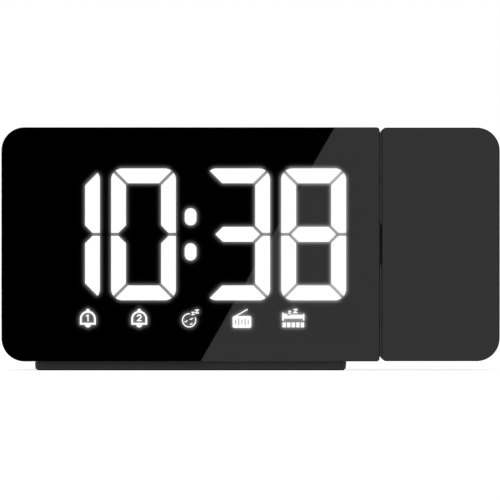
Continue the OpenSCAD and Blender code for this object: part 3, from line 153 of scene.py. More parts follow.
# Table: a wide white top, a hair under the pad's face. It looks white to the camera and keeps the clock's
# soft shadow, and gloss and glass see it as plain white, so that no horizon shows in them.
def new_material(name):
    material = bpy.data.materials.new(name)
    material.use_nodes = True
    material.node_tree.nodes.clear()
    return material, Wire(material.node_tree)


def quads(name, faces, material):
    """An object of flat four-cornered faces, its points in metres."""
    mesh = bpy.data.meshes.new(name)
    points = [point for face in faces for point in face]
    mesh.from_pydata(points, [], [tuple(range(4 * k, 4 * k + 4)) for k in range(len(faces))])
    mesh.materials.append(material)
    piece = bpy.data.objects.new(name, mesh)
    bpy.context.scene.collection.objects.link(piece)
    return piece


table_half, table_z = 3.0, -0.00005
table_shine, table_grey = 0.78, (0.36, 0.36, 0.36)
material, start = new_material("table_white")
camera_sees = start.node("LightPath", output="Is Camera Ray")
mirror_sees = either(
    start.node("LightPath", output="Is Glossy Ray"), start.node("LightPath", output="Is Transmission Ray")
)
own_light = start.node("Emission", {}, {"Color": white, "Strength": camera_sees * table_shine})
matt = start.node("BsdfDiffuse", {}, {"Color": table_grey})
seen = start.node("AddShader", {}, {0: own_light, 1: matt})
plain = start.node("Emission", {}, {"Color": white, "Strength": 1.0})
top = start.node("MixShader", {}, {0: mirror_sees, 1: seen, 2: plain})
top.node("OutputMaterial", {}, {"Surface": top})
corners = [(-1, -1), (1, -1), (1, 1), (-1, 1)]
table = quads("table", [[(table_half * x, table_half * y, table_z) for x, y in corners]], material)


# Lamps: one big soft box above and before the clock, and a weaker one above and behind it, both aimed at
# the middle of the body.
clock_middle = (0, 0, 0.05)


def soft_box(name, place, side, watts):
    lamp = bpy.data.lights.new(name, "AREA")
    lamp.size = side
    lamp.energy = watts
    box = bpy.data.objects.new(name, lamp)
    box.location = place
    box.rotation_euler = (Vector(clock_middle) - Vector(place)).to_track_quat("-Z", "Y").to_euler()
    bpy.context.scene.collection.objects.link(box)


soft_box("front_lamp", place=(-0.5, -1.0, 1.8), side=1.0, watts=16)
soft_box("back_lamp", place=(0.7, 1.3, 1.5), side=1.0, watts=12)


# Black cards: matt black studio cards round the clock, which only gloss sees. One stands before the left
# part of the front, and its slanting edge is what the lens mirrors. The others darken the edges.
lens_y, card_y = -0.02, -0.22
card_bottom, card_top = -0.15, 0.35
card_left, card_right = -0.6, 0.45
card_front, card_back = -1.2, 0.3
card_spread = 1 + (lens_y - card_y) / (lens_y - camera_place[1])
slant_low = (-0.0191, 0.0034)
slant_high = (0.0320, 0.0927)


def on_card(point):
    """Where the camera's mirror line from that point of the lens meets the card's plane."""
    x = camera_place[0] + (point[0] - camera_place[0]) * card_spread
    z = camera_place[2] + (point[1] - camera_place[2]) * card_spread
    return Vector((x, z))


low, high = on_card(slant_low), on_card(slant_high)
slope = (high - low) / (high.y - low.y)
slant_foot = low + slope * (card_bottom - low.y)
slant_head = low + slope * (card_top - low.y)
material, start = new_material("card_black")
black = start.node("BsdfDiffuse", {}, {"Color": (0.0, 0.0, 0.0)})
black.node("OutputMaterial", {}, {"Surface": black})
card_faces = [
    [
        (card_left, card_y, card_bottom), (slant_foot.x, card_y, card_bottom),
        (slant_head.x, card_y, card_top), (card_left, card_y, card_top),
    ],
    [
        (card_left, card_front, card_top), (card_right, card_front, card_top),
        (card_right, card_back, card_top), (card_left, card_back, card_top),
    ],
]
for x in (card_right, card_left):
    corners = [(card_front, 0), (card_back, 0), (card_back, card_top), (card_front, card_top)]
    card_faces.append([(x, y, z) for y, z in corners])
cards = quads("cards", card_faces, material)
for rays in ("camera", "diffuse", "transmission", "volume_scatter", "shadow"):
    setattr(cards, "visible_" + rays, False)


# Shells: injection-moulded black ABS, spark-eroded but for the head's polished face. The body has a front
# frame and a rear housing, the head two halves and a filler in the slit, made pale by a painted highlight
# and painted black, as painted shade, where the hub crosses.
MM = 0.001
front_y, back_y = -20.0, 20.0
lens_seat_y, frame_joint_y, head_joint_y = -18.0, -13.0, 13.0
body_top, head_top = 92.7, 92.6
head_left, axis_z = 49.9, 48.05
filler_t, filler_y, filler_painted_highlight, hub_shade = 0.4, -18.5, 0.13, (7.0, 8.8)
face_edge, shell_edge, head_top_edge, seat_edge = 0.35, 0.2, 0.3, 0.12
abs_black = (0.011, 0.011, 0.0115)


def finish(name, make):
    """A material whose Principled sockets make() gives, from the place on the clock and the way it faces."""
    material, start = new_material(name)
    place = start.node("TexCoord", output="Object")
    facing = start.node("NewGeometry", output="Normal")
    shader = start.node("BsdfPrincipled", {}, make(place, facing))
    shader.node("OutputMaterial", {}, {"Surface": shader})
    return material


def paint(material, *names):
    for name in names:
        for slot in nodes[name].material_slots:
            slot.material = material


def axis(vector, which):
    return vector.node("SeparateXYZ", {}, {"Vector": vector}, which)


def lumps(place, size, detail=2.0, stretch=(1, 1, 1)):
    """Soft noise from 0 to 1 with lumps of that size in millimetres."""
    values = {"Vector": place * stretch, "Scale": 1 / (size * MM), "Detail": detail}
    return place.node("TexNoise", {}, values)


def step(value, low, high):
    """0 below low and 1 above high, with a smooth rise between."""
    settings = {"interpolation_type": "SMOOTHSTEP"}
    return value.node("MapRange", settings, {"Value": value, "From Min": low, "From Max": high})


def bumps(height, depth):
    """The normal of a surface that rises by depth millimetres where height is 1."""
    return height.node("Bump", {}, {"Height": height, "Distance": depth * MM})


def spark_texture(place, grain=0.22):
    """Height of a spark-eroded mould surface: fine grain with a few coarser pits."""
    return lumps(place, grain, 3.0) * 0.7 + lumps(place, grain * 4, 1.0) * 0.3


def shell_abs(place, facing):
    x, y, z = (axis(place, k) / MM for k in range(3))
    ahead = (y < filler_y + 0.1) * (x > head_left - filler_t) * (axis(facing, 1) < -0.3)
    slit = ahead * (x < head_left - 0.005) * (y > filler_y - 0.1)
    # The slit's filler is polished and made pale by a painted highlight, and painted black, as painted
    # shade, where the hub crosses.
    filler = slit * step(abs(z - axis_z), *hub_shade)
    face = ahead * (y < front_y + 0.4)
    polished = either(face, filler)
    texture = spark_texture(place) * (1 - polished)
    handled = step(lumps(place, 28, 3.0), 0.45, 0.75)
    return {
        "Base Color": between(abs_black, (0.0, 0.0, 0.0), either(face, slit)) + filler * filler_painted_highlight,
        "Roughness": (0.44 + handled * 0.07 + texture * 0.06) * (1 - polished) + polished * 0.03,
        "IOR": 1.45,
        "Normal": bumps(texture, 0.035),
    }


def shaped(name, mesh, material, body, *replaced):
    """A piece from a bmesh, with its material, on its body and in place of those CAD parts. It is shaded
    smooth but over sharp edges, and its flat faces stay flat."""
    for face in mesh.faces:
        face.smooth = True
    for edge in mesh.edges:
        edge.smooth = edge.calc_face_angle(math.pi) < math.radians(30)
    data = bpy.data.meshes.new(name)
    mesh.to_mesh(data)
    mesh.free()
    data.materials.append(material)
    piece = bpy.data.objects.new(name, data)
    bpy.context.scene.collection.objects.link(piece)
    even = piece.modifiers.new("even_shading", "WEIGHTED_NORMAL")
    even.keep_sharp = True
    even.weight = 100
    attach(piece, body)
    if replaced:
        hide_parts(*replaced)
    return piece


def solid_of(name):
    """A CAD part's shape as a bmesh, its flat faces in one piece."""
    mesh = bmesh.new()
    mesh.from_mesh(nodes[name].data)
    bmesh.ops.remove_doubles(mesh, verts=mesh.verts, dist=1e-6)
    bmesh.ops.dissolve_limit(mesh, angle_limit=math.radians(0.5), verts=mesh.verts, edges=mesh.edges)
    return mesh


sharp_angle = 0.6
ease_steps = 3


def ease(mesh, radius, chosen):
    """Rounds the sharp outer edges of which chosen() holds, for both ends' places in millimetres."""
    edges = [
        edge for edge in mesh.edges
        if edge.is_manifold and edge.is_convex and edge.calc_face_angle() > sharp_angle
        and all(chosen(*(vertex.co / MM)) for vertex in edge.verts)
    ]
    bmesh.ops.bevel(mesh, geom=edges, offset=radius * MM, segments=ease_steps, profile=0.5, affect="EDGES")


def at(value, place):
    """Whether a place along an axis is that one, in millimetres."""
    return abs(value - place) < 0.01


def bar(x, z, centre, width, height, turn=0):
    """1 on a bar of that size about its centre, turned by so many degrees."""
    cos, sin = math.cos(math.radians(turn)), math.sin(math.radians(turn))
    dx, dz = x - centre[0], z - centre[1]
    return (abs(dx * cos + dz * sin) < width / 2) * (abs(dz * cos - dx * sin) < height / 2)


def disc(x, z, centre, diameter):
    """1 on a disc of that diameter about its centre."""
    dx, dz = x - centre[0], z - centre[1]
    return (dx * dx + dz * dz) ** 0.5 < diameter / 2


sign_z, sign_line = 33.6, 0.5
jack_x, usb_x, aerial_x = 19.1, -0.9, -20.9
coin_x, coin_z, coin_sign_z = -9.9, 52.05, 49.5
optic_x, optic_y, beam_z = 72.45, 2.0, 57.0


def printed_abs(place, facing):
    """The same plastic with signs printed on the back: direct current over the power jack, a cell over the
    charging outlet, an aerial over its wire, a coin cell on its cover and a beam over the projector key."""
    x, z = axis(place, 0) / MM, axis(place, 2) / MM
    signs = bar(x, z, (jack_x, sign_z + 0.7), 5.2, sign_line)
    for k in (-1, 0, 1):
        signs = signs + bar(x, z, (jack_x + 1.9 * k, sign_z - 0.7), 1.4, sign_line)
    signs = signs + bar(x, z, (usb_x, sign_z), 5.0, 2.8) - bar(x, z, (usb_x, sign_z), 4.0, 1.8)
    signs = signs + bar(x, z, (usb_x - 2.75, sign_z), 0.5, 1.3) + bar(x, z, (usb_x + 0.9, sign_z), 1.4, 1.0)
    signs = signs + bar(x, z, (aerial_x, sign_z - 0.3), sign_line, 4.2)
    for side in (-1, 1):
        signs = signs + bar(x, z, (aerial_x + 0.8 * side, sign_z + 1.0), 2.4, sign_line, 50 * side)
    coin = (coin_x, coin_sign_z)
    signs = signs + disc(x, z, coin, 9.0) - disc(x, z, coin, 8.0)
    signs = signs + bar(x, z, coin, 3.6, sign_line) + bar(x, z, coin, sign_line, 3.6)
    signs = signs + disc(x, z, (optic_x, beam_z), 1.3)
    for turn in (45, 90, 135):
        dx, dz = 2.1 * math.cos(math.radians(turn)), 2.1 * math.sin(math.radians(turn))
        signs = signs + bar(x, z, (optic_x + dx, beam_z + dz), 1.7, 0.4, turn)
    printed = (signs > 0.5) * (axis(facing, 1) > 0.7) * (axis(place, 1) / MM > back_y - 0.5)
    cover = 0.75 + lumps(place, 0.2, 3.0) * 0.25
    values = shell_abs(place, facing)
    values["Base Color"] = between(values["Base Color"], (0.42, 0.42, 0.41), printed * cover)
    return values


shell = finish("shell_black_abs", shell_abs)
printed_shell = finish("shell_printed_abs", printed_abs)

mesh = solid_of("head_front")
ease(mesh, face_edge, lambda x, y, z: at(y, front_y))
ease(mesh, shell_edge, lambda x, y, z: at(y, head_joint_y))
ease(mesh, head_top_edge, lambda x, y, z: at(z, head_top) and y > lens_seat_y)
shaped("head_front_shell", mesh, shell, "head", "head_front")

mesh = solid_of("head_back")
ease(mesh, shell_edge, lambda x, y, z: at(y, head_joint_y))
ease(mesh, shell_edge, lambda x, y, z: at(y, back_y))
shaped("head_back_shell", mesh, printed_shell, "head", "head_back")

mesh = solid_of("front_frame")
ease(mesh, shell_edge, lambda x, y, z: at(y, frame_joint_y))
ease(mesh, seat_edge, lambda x, y, z: at(y, lens_seat_y))
shaped("front_frame_shell", mesh, shell, "clock", "front_frame")

mesh = solid_of("rear_housing")
ease(mesh, shell_edge, lambda x, y, z: at(y, frame_joint_y))
ease(mesh, shell_edge, lambda x, y, z: at(y, back_y))
ease(mesh, shell_edge, lambda x, y, z: at(z, body_top) and y > frame_joint_y + 0.5)
shaped("rear_housing_shell", mesh, printed_shell, "clock", "rear_housing")

mesh = solid_of("battery_door")
ease(mesh, shell_edge, lambda x, y, z: at(y, back_y))
shaped("battery_cover", mesh, printed_shell, "battery_door", "battery_door")


# Foot: a low black ABS plinth moulded in one piece and held by screws from below. The ribbed rubber pad
# under it keeps the clock from sliding.
rib_pitch, foot_underside, foot_edge = 1.6, 0.5, 0.12


def repeat(value, pitch):
    """value's place within its own pitch, from -0.5 to 0.5."""
    turn = value / (pitch * MM)
    return turn.math("FRACT", turn) - 0.5


def foot_abs(place, facing):
    texture = spark_texture(place, 0.3)
    rubbed = step(lumps(place, 16, 3.0), 0.5, 0.8)
    return {
        "Base Color": between((0.021, 0.021, 0.0215), (0.028, 0.028, 0.0285), texture),
        "Roughness": 0.5 + rubbed * 0.06,
        "IOR": 1.45,
        "Normal": bumps(texture, 0.04),
    }


def pad_rubber(place, facing):
    rib = abs(repeat(axis(place, 0), rib_pitch))
    grain = lumps(place, 0.35, 3.0)
    dust = step(lumps(place, 9, 4.0), 0.55, 0.8)
    return {
        "Base Color": between((0.003, 0.003, 0.003), (0.009, 0.009, 0.0085), dust),
        "Roughness": 0.75 + grain * 0.15,
        "Specular IOR Level": 0.04,
        "Normal": bumps(step(rib, 0.1, 0.2) + grain * 0.1, 0.12),
    }


mesh = solid_of("foot")
ease(mesh, foot_edge, lambda x, y, z: at(z, foot_underside))
shaped("foot_plinth", mesh, finish("foot_black_abs", foot_abs), "clock", "foot")
paint(finish("pad_rubber", pad_rubber), "foot_pad")


# Lens: a 2 mm sheet of smoked acrylic over the whole front of the body, bonded to the front frame. Its
# front edge is eased, its back is lacquered black outside the display, and the rest lets a seventh pass.
lens_pass = 0.15
lens_back, lens_edge = -18.05, 0.1
film_low, film_high = [(corner.x * 1000, corner.z * 1000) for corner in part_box("display_film")]


def smoked_acrylic(place, facing):
    x, y, z = (axis(place, k) / MM for k in range(3))
    clear = (x > film_low[0]) * (x < film_high[0]) * (z > film_low[1]) * (z < film_high[1])
    front = y < front_y + 0.5
    rear = y > lens_back - 0.05
    haze = step(lumps(place, 35, 4.0), 0.5, 0.9)
    return {
        "Base Color": (0.0, 0.0, 0.0),
        "Roughness": 0.015 + haze * 0.02,
        "IOR": 1.48,
        "Alpha": 1 - front * lens_pass - rear * clear,
        "Normal": bumps(lumps(place, 60, 0.0), 0.002),
    }


sheet = solid_of("front_lens")
for vertex in sheet.verts:
    if vertex.co.y / MM > front_y + 1:
        vertex.co.y = lens_back * MM
ease(sheet, lens_edge, lambda x, y, z: at(y, front_y))
lens = shaped("lens_sheet", sheet, finish("smoked_acrylic", smoked_acrylic), "clock", "front_lens")


# Digits: four sets of seven light guides moulded in white acrylic, with mitred gaps between the strokes.
# The clock shows 10:38. Only the faces behind the lens shine; the strokes that are off and all sides of the
# guides are painted near black, as painted shade.
glow_strength = 1.03 / lens_pass
mid_x = -22.9
outer_x, inner_x = 46.95, 17.95
digit_w, digit_h, digit_z = 25.0, 50.6, 51.9
stroke, stroke_slack = 5.95, 0.2
tip_inset, tip_slack = 3.8, 0.6
shown = {
    "digit_hour_tens": (mid_x - outer_x, "bc"),
    "digit_hour_units": (mid_x - inner_x, "abcdef"),
    "digit_minute_tens": (mid_x + inner_x, "abcdg"),
    "digit_minute_units": (mid_x + outer_x, "abcdefg"),
}


def light_guide(lit, place, facing):
    """White acrylic whose front shines where lit is 1; elsewhere it is painted near black, as painted shade.
    """
    grain = lumps(place, 0.5, 2.0)
    on = lit * (axis(facing, 1) < -0.5)
    return {
        "Base Color": between((0.004, 0.004, 0.004), (0.8, 0.8, 0.79), on),
        "Roughness": 0.35 + grain * 0.15,
        "Specular IOR Level": 0.15,
        "Emission Color": between((0.0, 0.0, 0.0), white, on),
        "Emission Strength": glow_strength,
        "Normal": bumps(grain, 0.01),
    }


def stroke_light(place, centre, letters):
    """1 on the strokes named by those letters, a at the top and on clockwise, with g in the middle."""
    dx = axis(place, 0) / MM - centre
    dz = axis(place, 2) / MM - digit_z
    u = digit_w / 2 - abs(dx)
    v = digit_h / 2 - abs(dz)
    past_tip = abs(dz) > u - tip_inset + tip_slack
    side = (u < v) * (u < stroke + stroke_slack) * past_tip
    end = (v < u) * (v < stroke + stroke_slack)
    right, upper = dx > 0.0, dz > 0.0
    regions = {
        "a": end * upper,
        "b": side * right * upper,
        "c": side * right * (1 - upper),
        "d": end * (1 - upper),
        "e": side * (1 - right) * (1 - upper),
        "f": side * (1 - right) * upper,
        "g": (1 - side) * (1 - end),
    }
    light = regions[letters[0]]
    for letter in letters[1:]:
        light = light + regions[letter]
    return light


for name, (centre, letters) in shown.items():
    def guide(place, facing):
        return light_guide(stroke_light(place, centre, letters), place, facing)

    paint(finish(name + "_acrylic", guide), name)


# Colon and icons: light guides of the same white acrylic, all lit: two alarm bells, a sleeping face, a
# radio and a bed.
def lit_acrylic(place, facing):
    return light_guide(1, place, facing)


paint(finish("lit_acrylic", lit_acrylic), "colon_dots", "icon_inserts")


# Display film: a smoke-black film behind the lens, through which only the lit strokes show. The film
# carries a painted glow: a narrow halo round each of them, painted brighter towards the right.
film_front, film_t = -18.03, 0.02
digit_overlap, icon_overlap = 0.165, 0.03


def part_shapes(name, overlap):
    """The separate solids of a node: for each its centre and, in millimetres, its front and its outline
    there, drawn in by the film's overlap."""
    mesh = bmesh.new()
    mesh.from_mesh(nodes[name].data)
    bmesh.ops.remove_doubles(mesh, verts=mesh.verts, dist=1e-6)
    left, shapes = dict.fromkeys(mesh.verts), []
    while left:
        island, ahead = {}, [left.popitem()[0]]
        while ahead:
            vertex = ahead.pop()
            island[vertex] = len(island)
            for edge in vertex.link_edges:
                other = edge.other_vert(vertex)
                if other in left:
                    del left[other]
                    ahead.append(other)
        centre = sum((v.co for v in island), Vector()) / len(island) * 1000
        faces = [f for f in mesh.faces if f.verts[0] in island and f.normal.y < -0.9]
        points = {v: k for k, v in enumerate(dict.fromkeys(v for f in faces for v in f.verts))}
        flat = [Vector((v.co.x * 1000, 0, v.co.z * 1000)) for v in points]
        rim, inward = [], {}
        for edge in mesh.edges:
            own = [f for f in edge.link_faces if f in faces]
            if len(own) == 1:
                ends = [points[v] for v in edge.verts]
                way = (flat[ends[1]] - flat[ends[0]]).normalized()
                side = Vector((-way.z, 0, way.x))
                third = sum((flat[points[v]] for v in own[0].verts), Vector()) / len(own[0].verts)
                side *= math.copysign(overlap, (third - flat[ends[0]]).dot(side))
                rim.append(ends)
                for end in ends:
                    inward.setdefault(end, []).append(side)
        for k, (first, second) in inward.items():
            flat[k] = flat[k] + (first + second) / (1 + first.dot(second) / overlap**2)
        tree = BVHTree.FromPolygons(flat, [[points[v] for v in f.verts] for f in faces])
        shapes.append((centre, tree, [[(flat[k].x, flat[k].z) for k in ends] for ends in rim]))
    mesh.free()
    return shapes


def letter_of(name, centre):
    """Which stroke of its digit a solid is."""
    dx, dz = centre.x - shown[name][0], centre.z - digit_z
    if abs(dx) < stroke / 2:
        return "g" if abs(dz) < stroke / 2 else "a" if dz > 0 else "d"
    return ("b" if dz > 0 else "c") if dx > 0 else ("f" if dz > 0 else "e")


rim_pitch, icon_pitch, digit_pitch = 0.4, 0.2, 0.45
touching = 0.001
windows, points, edges = [], [], []
lit, areas = [], []
for name in [*shown, "colon_dots", "icon_inserts"]:
    icons = name == "icon_inserts"
    for centre, tree, rim in part_shapes(name, icon_overlap if icons else digit_overlap):
        if name in shown and letter_of(name, centre) not in shown[name][1]:
            continue
        windows.append(tree)
        for start, end in ((Vector(a), Vector(b)) for a, b in rim):
            pieces = math.ceil((end - start).length / rim_pitch)
            points.extend(start.lerp(end, k / pieces) for k in range(pieces + 1))
            edges.extend((len(points) - k - 2, len(points) - k - 1) for k in range(pieces))
        corners = [Vector(point) for ends in rim for point in ends]
        low = Vector((min(c.x for c in corners), min(c.y for c in corners)))
        size = Vector((max(c.x for c in corners), max(c.y for c in corners))) - low
        across, up = (math.ceil(length / (icon_pitch if icons else digit_pitch)) for length in size)
        for i in range(across):
            for j in range(up):
                spot = Vector((low.x + size.x * (i + 0.5) / across, 0, low.y + size.y * (j + 0.5) / up))
                if tree.find_nearest(spot, touching)[0]:
                    lit.append(spot)
                    areas.append(size.x * size.y / (across * up))
lit_tree = KDTree(len(lit))
for k, spot in enumerate(lit):
    lit_tree.insert(spot, k)
lit_tree.balance()

glow_end = 3.0
near_glow, near_reach = 0.14, 0.88
far_glow, far_reach = 0.0016, 2.0
painted_right_glow, right_from, right_over = 0.7, -6.0, 18.0
gap_glow, gap_width, gap_fade, gap_search = 0.21, 1.4, 0.4, 1.5
icon_glow, icon_top = 0.038, 27.0


def halo(point):
    """Brightness of the painted glow at a point of the film, where a stroke is 1: it spreads from every lit
    spot near it, is painted brighter towards the right, and is stronger in the gaps between strokes. The
    icons' glow is painted a little stronger where strokes stand all round."""
    found = lit_tree.find_range(point, glow_end)
    near = sum(areas[k] * math.exp(-((reach / near_reach) ** 2)) for spot, k, reach in found)
    far = sum(areas[k] * math.exp(-((reach / far_reach) ** 2)) for spot, k, reach in found)
    spread = near_glow * near + far_glow * far
    spread *= 1 + painted_right_glow * min(1, max(0, (point.x - right_from) / right_over))
    if point.z > icon_top:
        ends = [tree.find_nearest(point, gap_search)[0] for tree in windows]
        beside = sorted((end - point).length for end in ends if end)
        gap = sum(beside[:2]) if len(beside) > 1 else gap_width
        return min(1.0, spread + gap_glow * min(1, max(0, (gap_width - gap) / gap_fade)))
    turns = [math.atan2(spot.z - point.z, spot.x - point.x) for spot, k, reach in found]
    ways = {round(turn * 4 / math.pi) % 8 for turn in turns}
    return min(1.0, spread + icon_glow * max(0, len(ways) - 5) / 3)


mesh_reach, rim_clearance, coarse = 3.6, 0.06, 8
columns = round((film_high[0] - film_low[0]) / rim_pitch)
rows = round((film_high[1] - film_low[1]) / rim_pitch)
for i in range(columns + 1):
    for j in range(rows + 1):
        x = film_low[0] + (film_high[0] - film_low[0]) * i / columns
        z = film_low[1] + (film_high[1] - film_low[1]) * j / rows
        near = any(tree.find_nearest(Vector((x, 0, z)), mesh_reach)[0] for tree in windows)
        inside = any(tree.find_nearest(Vector((x, 0, z)), rim_clearance)[0] for tree in windows)
        on_edge = i in (0, columns) or j in (0, rows)
        if (near or on_edge or (i % coarse == 0 and j % coarse == 0)) and not inside:
            points.append(Vector((x, z)))
flat, _, faces, *_ = delaunay_2d_cdt(points, edges, [], 0, 1e-4)
flat = [Vector((p.x, 0, p.y)) for p in flat]
kept = []
for face in faces:
    middle = sum((flat[k] for k in face), Vector()) / len(face)
    if not any(tree.find_nearest(middle, 2 * touching)[0] for tree in windows):
        kept.append(face)
used = sorted({k for face in kept for k in face})
place_of = {k: n for n, k in enumerate(used)}
film_mesh = bpy.data.meshes.new("printed_film")
front = [(flat[k].x * MM, film_front * MM, flat[k].z * MM) for k in used]
film_mesh.from_pydata(front, [], [[place_of[k] for k in face] for face in kept])
glow = film_mesh.attributes.new("halo", "FLOAT", "POINT")
for n, k in enumerate(used):
    glow.data[n].value = halo(flat[k])
shape = bmesh.new()
shape.from_mesh(film_mesh)
bmesh.ops.recalc_face_normals(shape, faces=shape.faces)
if shape.faces[0].normal.y > 0:
    bmesh.ops.reverse_faces(shape, faces=shape.faces)
shape.to_mesh(film_mesh)
shape.free()
film = bpy.data.objects.new("printed_film", film_mesh)
bpy.context.scene.collection.objects.link(film)
thickness = film.modifiers.new("thickness", "SOLIDIFY")
thickness.thickness = film_t * MM
thickness.offset = -1


def printed_film(place, facing):
    # The film's front gives off the halo attribute as painted glow.
    light = place.node("Attribute", {"attribute_name": "halo"}, output="Fac")
    shine = light * (axis(facing, 1) < -0.5)
    grain = lumps(place, 0.15, 2.0)
    return {
        "Base Color": between((0.002, 0.002, 0.002), (0.004, 0.004, 0.004), grain),
        "Roughness": 0.3 + grain * 0.2,
        "Specular IOR Level": 0.2,
        "Emission Color": between((0.0, 0.0, 0.0), white, shine),
        "Emission Strength": glow_strength,
        "Normal": bumps(grain, 0.004),
    }


film_mesh.materials.append(finish("printed_film", printed_film))
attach(film, "clock")
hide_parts("display_film")


# Display block: a white ABS reflector with a cell behind each stroke, on the green display board with its
# yellow-phosphor LEDs.
def reflector_abs(place, facing):
    grain = lumps(place, 0.3, 2.0)
    flow = lumps(place, 12, 3.0)
    return {
        "Base Color": between((0.74, 0.74, 0.72), (0.82, 0.82, 0.80), flow),
        "Roughness": 0.4 + grain * 0.15,
        "Normal": bumps(grain, 0.01),
    }


paint(finish("reflector_white_abs", reflector_abs), "digit_reflector", "cell_holder")


# Circuit boards: green glass-fibre boards with copper tracks under the lacquer, tinned pads and a
# lighter cut edge. The LED's own board is white-lacquered aluminium.
track_pitch, pin_pitch = 1.3, 2.54


def board_finish(lacquer, over_copper, edge):
    def make(place, facing):
        flat_x, flat_y, flat_z = (axis(place, k) for k in range(3))
        along = flat_x + flat_y + flat_z
        across = flat_x - flat_y - flat_z
        region = lumps(place, 7, 0.0)
        rising = (abs(repeat(along, track_pitch)) < 0.2) * (region > 0.5)
        falling = (abs(repeat(across, track_pitch)) < 0.2) * (region < 0.5)
        track = rising + falling
        pad_centre = repeat(flat_x, pin_pitch) ** 2.0 + repeat(flat_y + flat_z, pin_pitch) ** 2.0
        pad = (pad_centre < 0.06) * (lumps(place, 5, 0.0) > 0.58)
        weave = lumps(place, 0.4, 1.0)
        thick = 1 - (abs(axis(facing, 1)) > 0.5) - (abs(axis(facing, 2)) > 0.5)
        paintwork = between(between(lacquer, over_copper, track), (0.62, 0.62, 0.60), pad)
        return {
            "Base Color": between(paintwork, edge, thick),
            "Roughness": 0.28 + weave * 0.12 + thick * 0.3,
            "Metallic": pad * (1 - thick),
            "Normal": bumps(either(track, pad) + weave * 0.15, 0.03),
        }

    return make


glass_fibre = board_finish((0.012, 0.09, 0.035), over_copper=(0.025, 0.16, 0.06), edge=(0.35, 0.30, 0.14))
aluminium = board_finish((0.78, 0.78, 0.76), over_copper=(0.70, 0.70, 0.68), edge=(0.60, 0.61, 0.62))
paint(finish("board_green", glass_fibre), "display_board", "main_board", "key_board", "head_board")
paint(finish("board_white", aluminium), "led_board")


# LEDs: white ceramic cups filled with yellow phosphor. The ones behind the digits face the front, the
# projector's faces up.
def phosphor(up):
    def make(place, facing):
        top = axis(facing, up) > 0.7 if up == 2 else axis(facing, up) < -0.7
        grain = lumps(place, 0.12, 2.0)
        yellow = between((0.80, 0.55, 0.04), (0.85, 0.66, 0.10), grain)
        return {
            "Base Color": between((0.78, 0.77, 0.72), yellow, top),
            "Roughness": 0.3 + grain * 0.2,
            "Normal": bumps(grain, 0.01),
        }

    return make


paint(finish("front_leds", phosphor(1)), "display_leds")
paint(finish("projector_led", phosphor(2)), "led_emitter")


# Chips, capacitors and connectors: black epoxy with a pitted top, soldered to the main board by their
# tinned legs.
legs_y = (5.55, 5.9)


def chip_epoxy(place, facing):
    legs = step(axis(place, 1) / MM, *legs_y)
    grain = lumps(place, 0.18, 3.0)
    epoxy = between((0.012, 0.012, 0.013), (0.022, 0.022, 0.023), grain)
    return {
        "Base Color": between(epoxy, (0.6, 0.6, 0.58), legs),
        "Metallic": legs,
        "Roughness": 0.55 - legs * 0.25 + grain * 0.1,
        "Normal": bumps(grain, 0.02),
    }


paint(finish("chip_epoxy", chip_epoxy), "board_parts")


# Metal small parts: zinc-plated screws, tact switches under stamped steel covers, the blued spring washer
# and clip, and the stainless coin cell.
def metal(colour, roughness, grain_size, scratch, tint=None):
    def make(place, facing):
        brushed = lumps(place, grain_size, 3.0, (1, 1, scratch))
        stain = step(lumps(place, 6, 3.0), 0.5, 0.85)
        return {
            "Base Color": between(colour, tint or tuple(0.8 * c for c in colour), stain),
            "Metallic": 1.0,
            "Roughness": roughness + brushed * 0.12 + stain * 0.06,
            "Normal": bumps(brushed, 0.006),
        }

    return make


zinc = metal((0.56, 0.57, 0.60), roughness=0.26, grain_size=0.2, scratch=6, tint=(0.50, 0.47, 0.40))
blued = metal((0.34, 0.36, 0.40), roughness=0.3, grain_size=0.25, scratch=0.2, tint=(0.20, 0.24, 0.34))
stamped = metal((0.60, 0.60, 0.60), roughness=0.3, grain_size=0.3, scratch=0.3)
paint(finish("screw_zinc", zinc), "board_screws", "case_screws", "foot_screws", "head_screws")
paint(finish("spring_steel", blued), "friction_washer", "retaining_clip")
paint(finish("switch_steel", stamped), "key_switches")


plus_l, plus_w = 5.2, 1.0


def cell_steel(place, facing):
    """Stainless cap with a turned sheen and a pressed plus sign."""
    x, z = axis(place, 0) / MM, axis(place, 2) / MM
    radius = ((x - coin_x) * (x - coin_x) + (z - coin_z) * (z - coin_z)) ** 0.5
    spin = place.node("TexNoise", {"noise_dimensions": "1D"}, {"W": radius, "Scale": 6.0})
    middle = (coin_x, coin_z)
    plus = either(bar(x, z, middle, plus_l, plus_w), bar(x, z, middle, plus_w, plus_l))
    return {
        "Base Color": between((0.66, 0.66, 0.65), (0.56, 0.56, 0.55), plus),
        "Metallic": 1.0,
        "Roughness": 0.2 + spin * 0.16 + plus * 0.15,
        "Normal": bumps(spin * 0.1 - plus, 0.05),
    }


paint(finish("cell_steel", cell_steel), "coin_cell")


# Speaker: a stamped steel basket, a pressed black paper cone with a rolled edge and a dust cap, and a
# grey ferrite magnet between plated steel plates.
speaker_x = -66.0
cone_roll, cone_pitch = (11.6, 12.2), 1 / 0.55
plates_y = (6.2, 11.2)


def basket_steel(place, facing):
    """Plated steel with a black paper gasket on the face that seats on the housing."""
    gasket = axis(facing, 1) > 0.7
    brushed = lumps(place, 0.3, 3.0)
    return {
        "Base Color": between((0.62, 0.62, 0.61), (0.016, 0.016, 0.016), gasket),
        "Metallic": 1 - gasket,
        "Roughness": 0.26 + brushed * 0.12 + gasket * 0.5,
        "Normal": bumps(brushed, 0.01),
    }


def cone_paper(place, facing):
    dx, dz = axis(place, 0) / MM - speaker_x, axis(place, 2) / MM - axis_z
    radius = (dx * dx + dz * dz) ** 0.5
    fibres = lumps(place, 0.5, 5.0)
    ribs = abs(repeat(radius * MM, cone_pitch))
    roll = step(radius, *cone_roll)
    paper = between((0.016, 0.016, 0.017), (0.045, 0.044, 0.042), step(fibres, 0.4, 0.7))
    return {
        "Base Color": between(paper, (0.010, 0.010, 0.010), roll),
        "Roughness": 0.8 - roll * 0.35,
        "Normal": bumps(fibres * 0.5 + step(ribs, 0.0, 0.12) * (1 - roll), 0.12),
    }


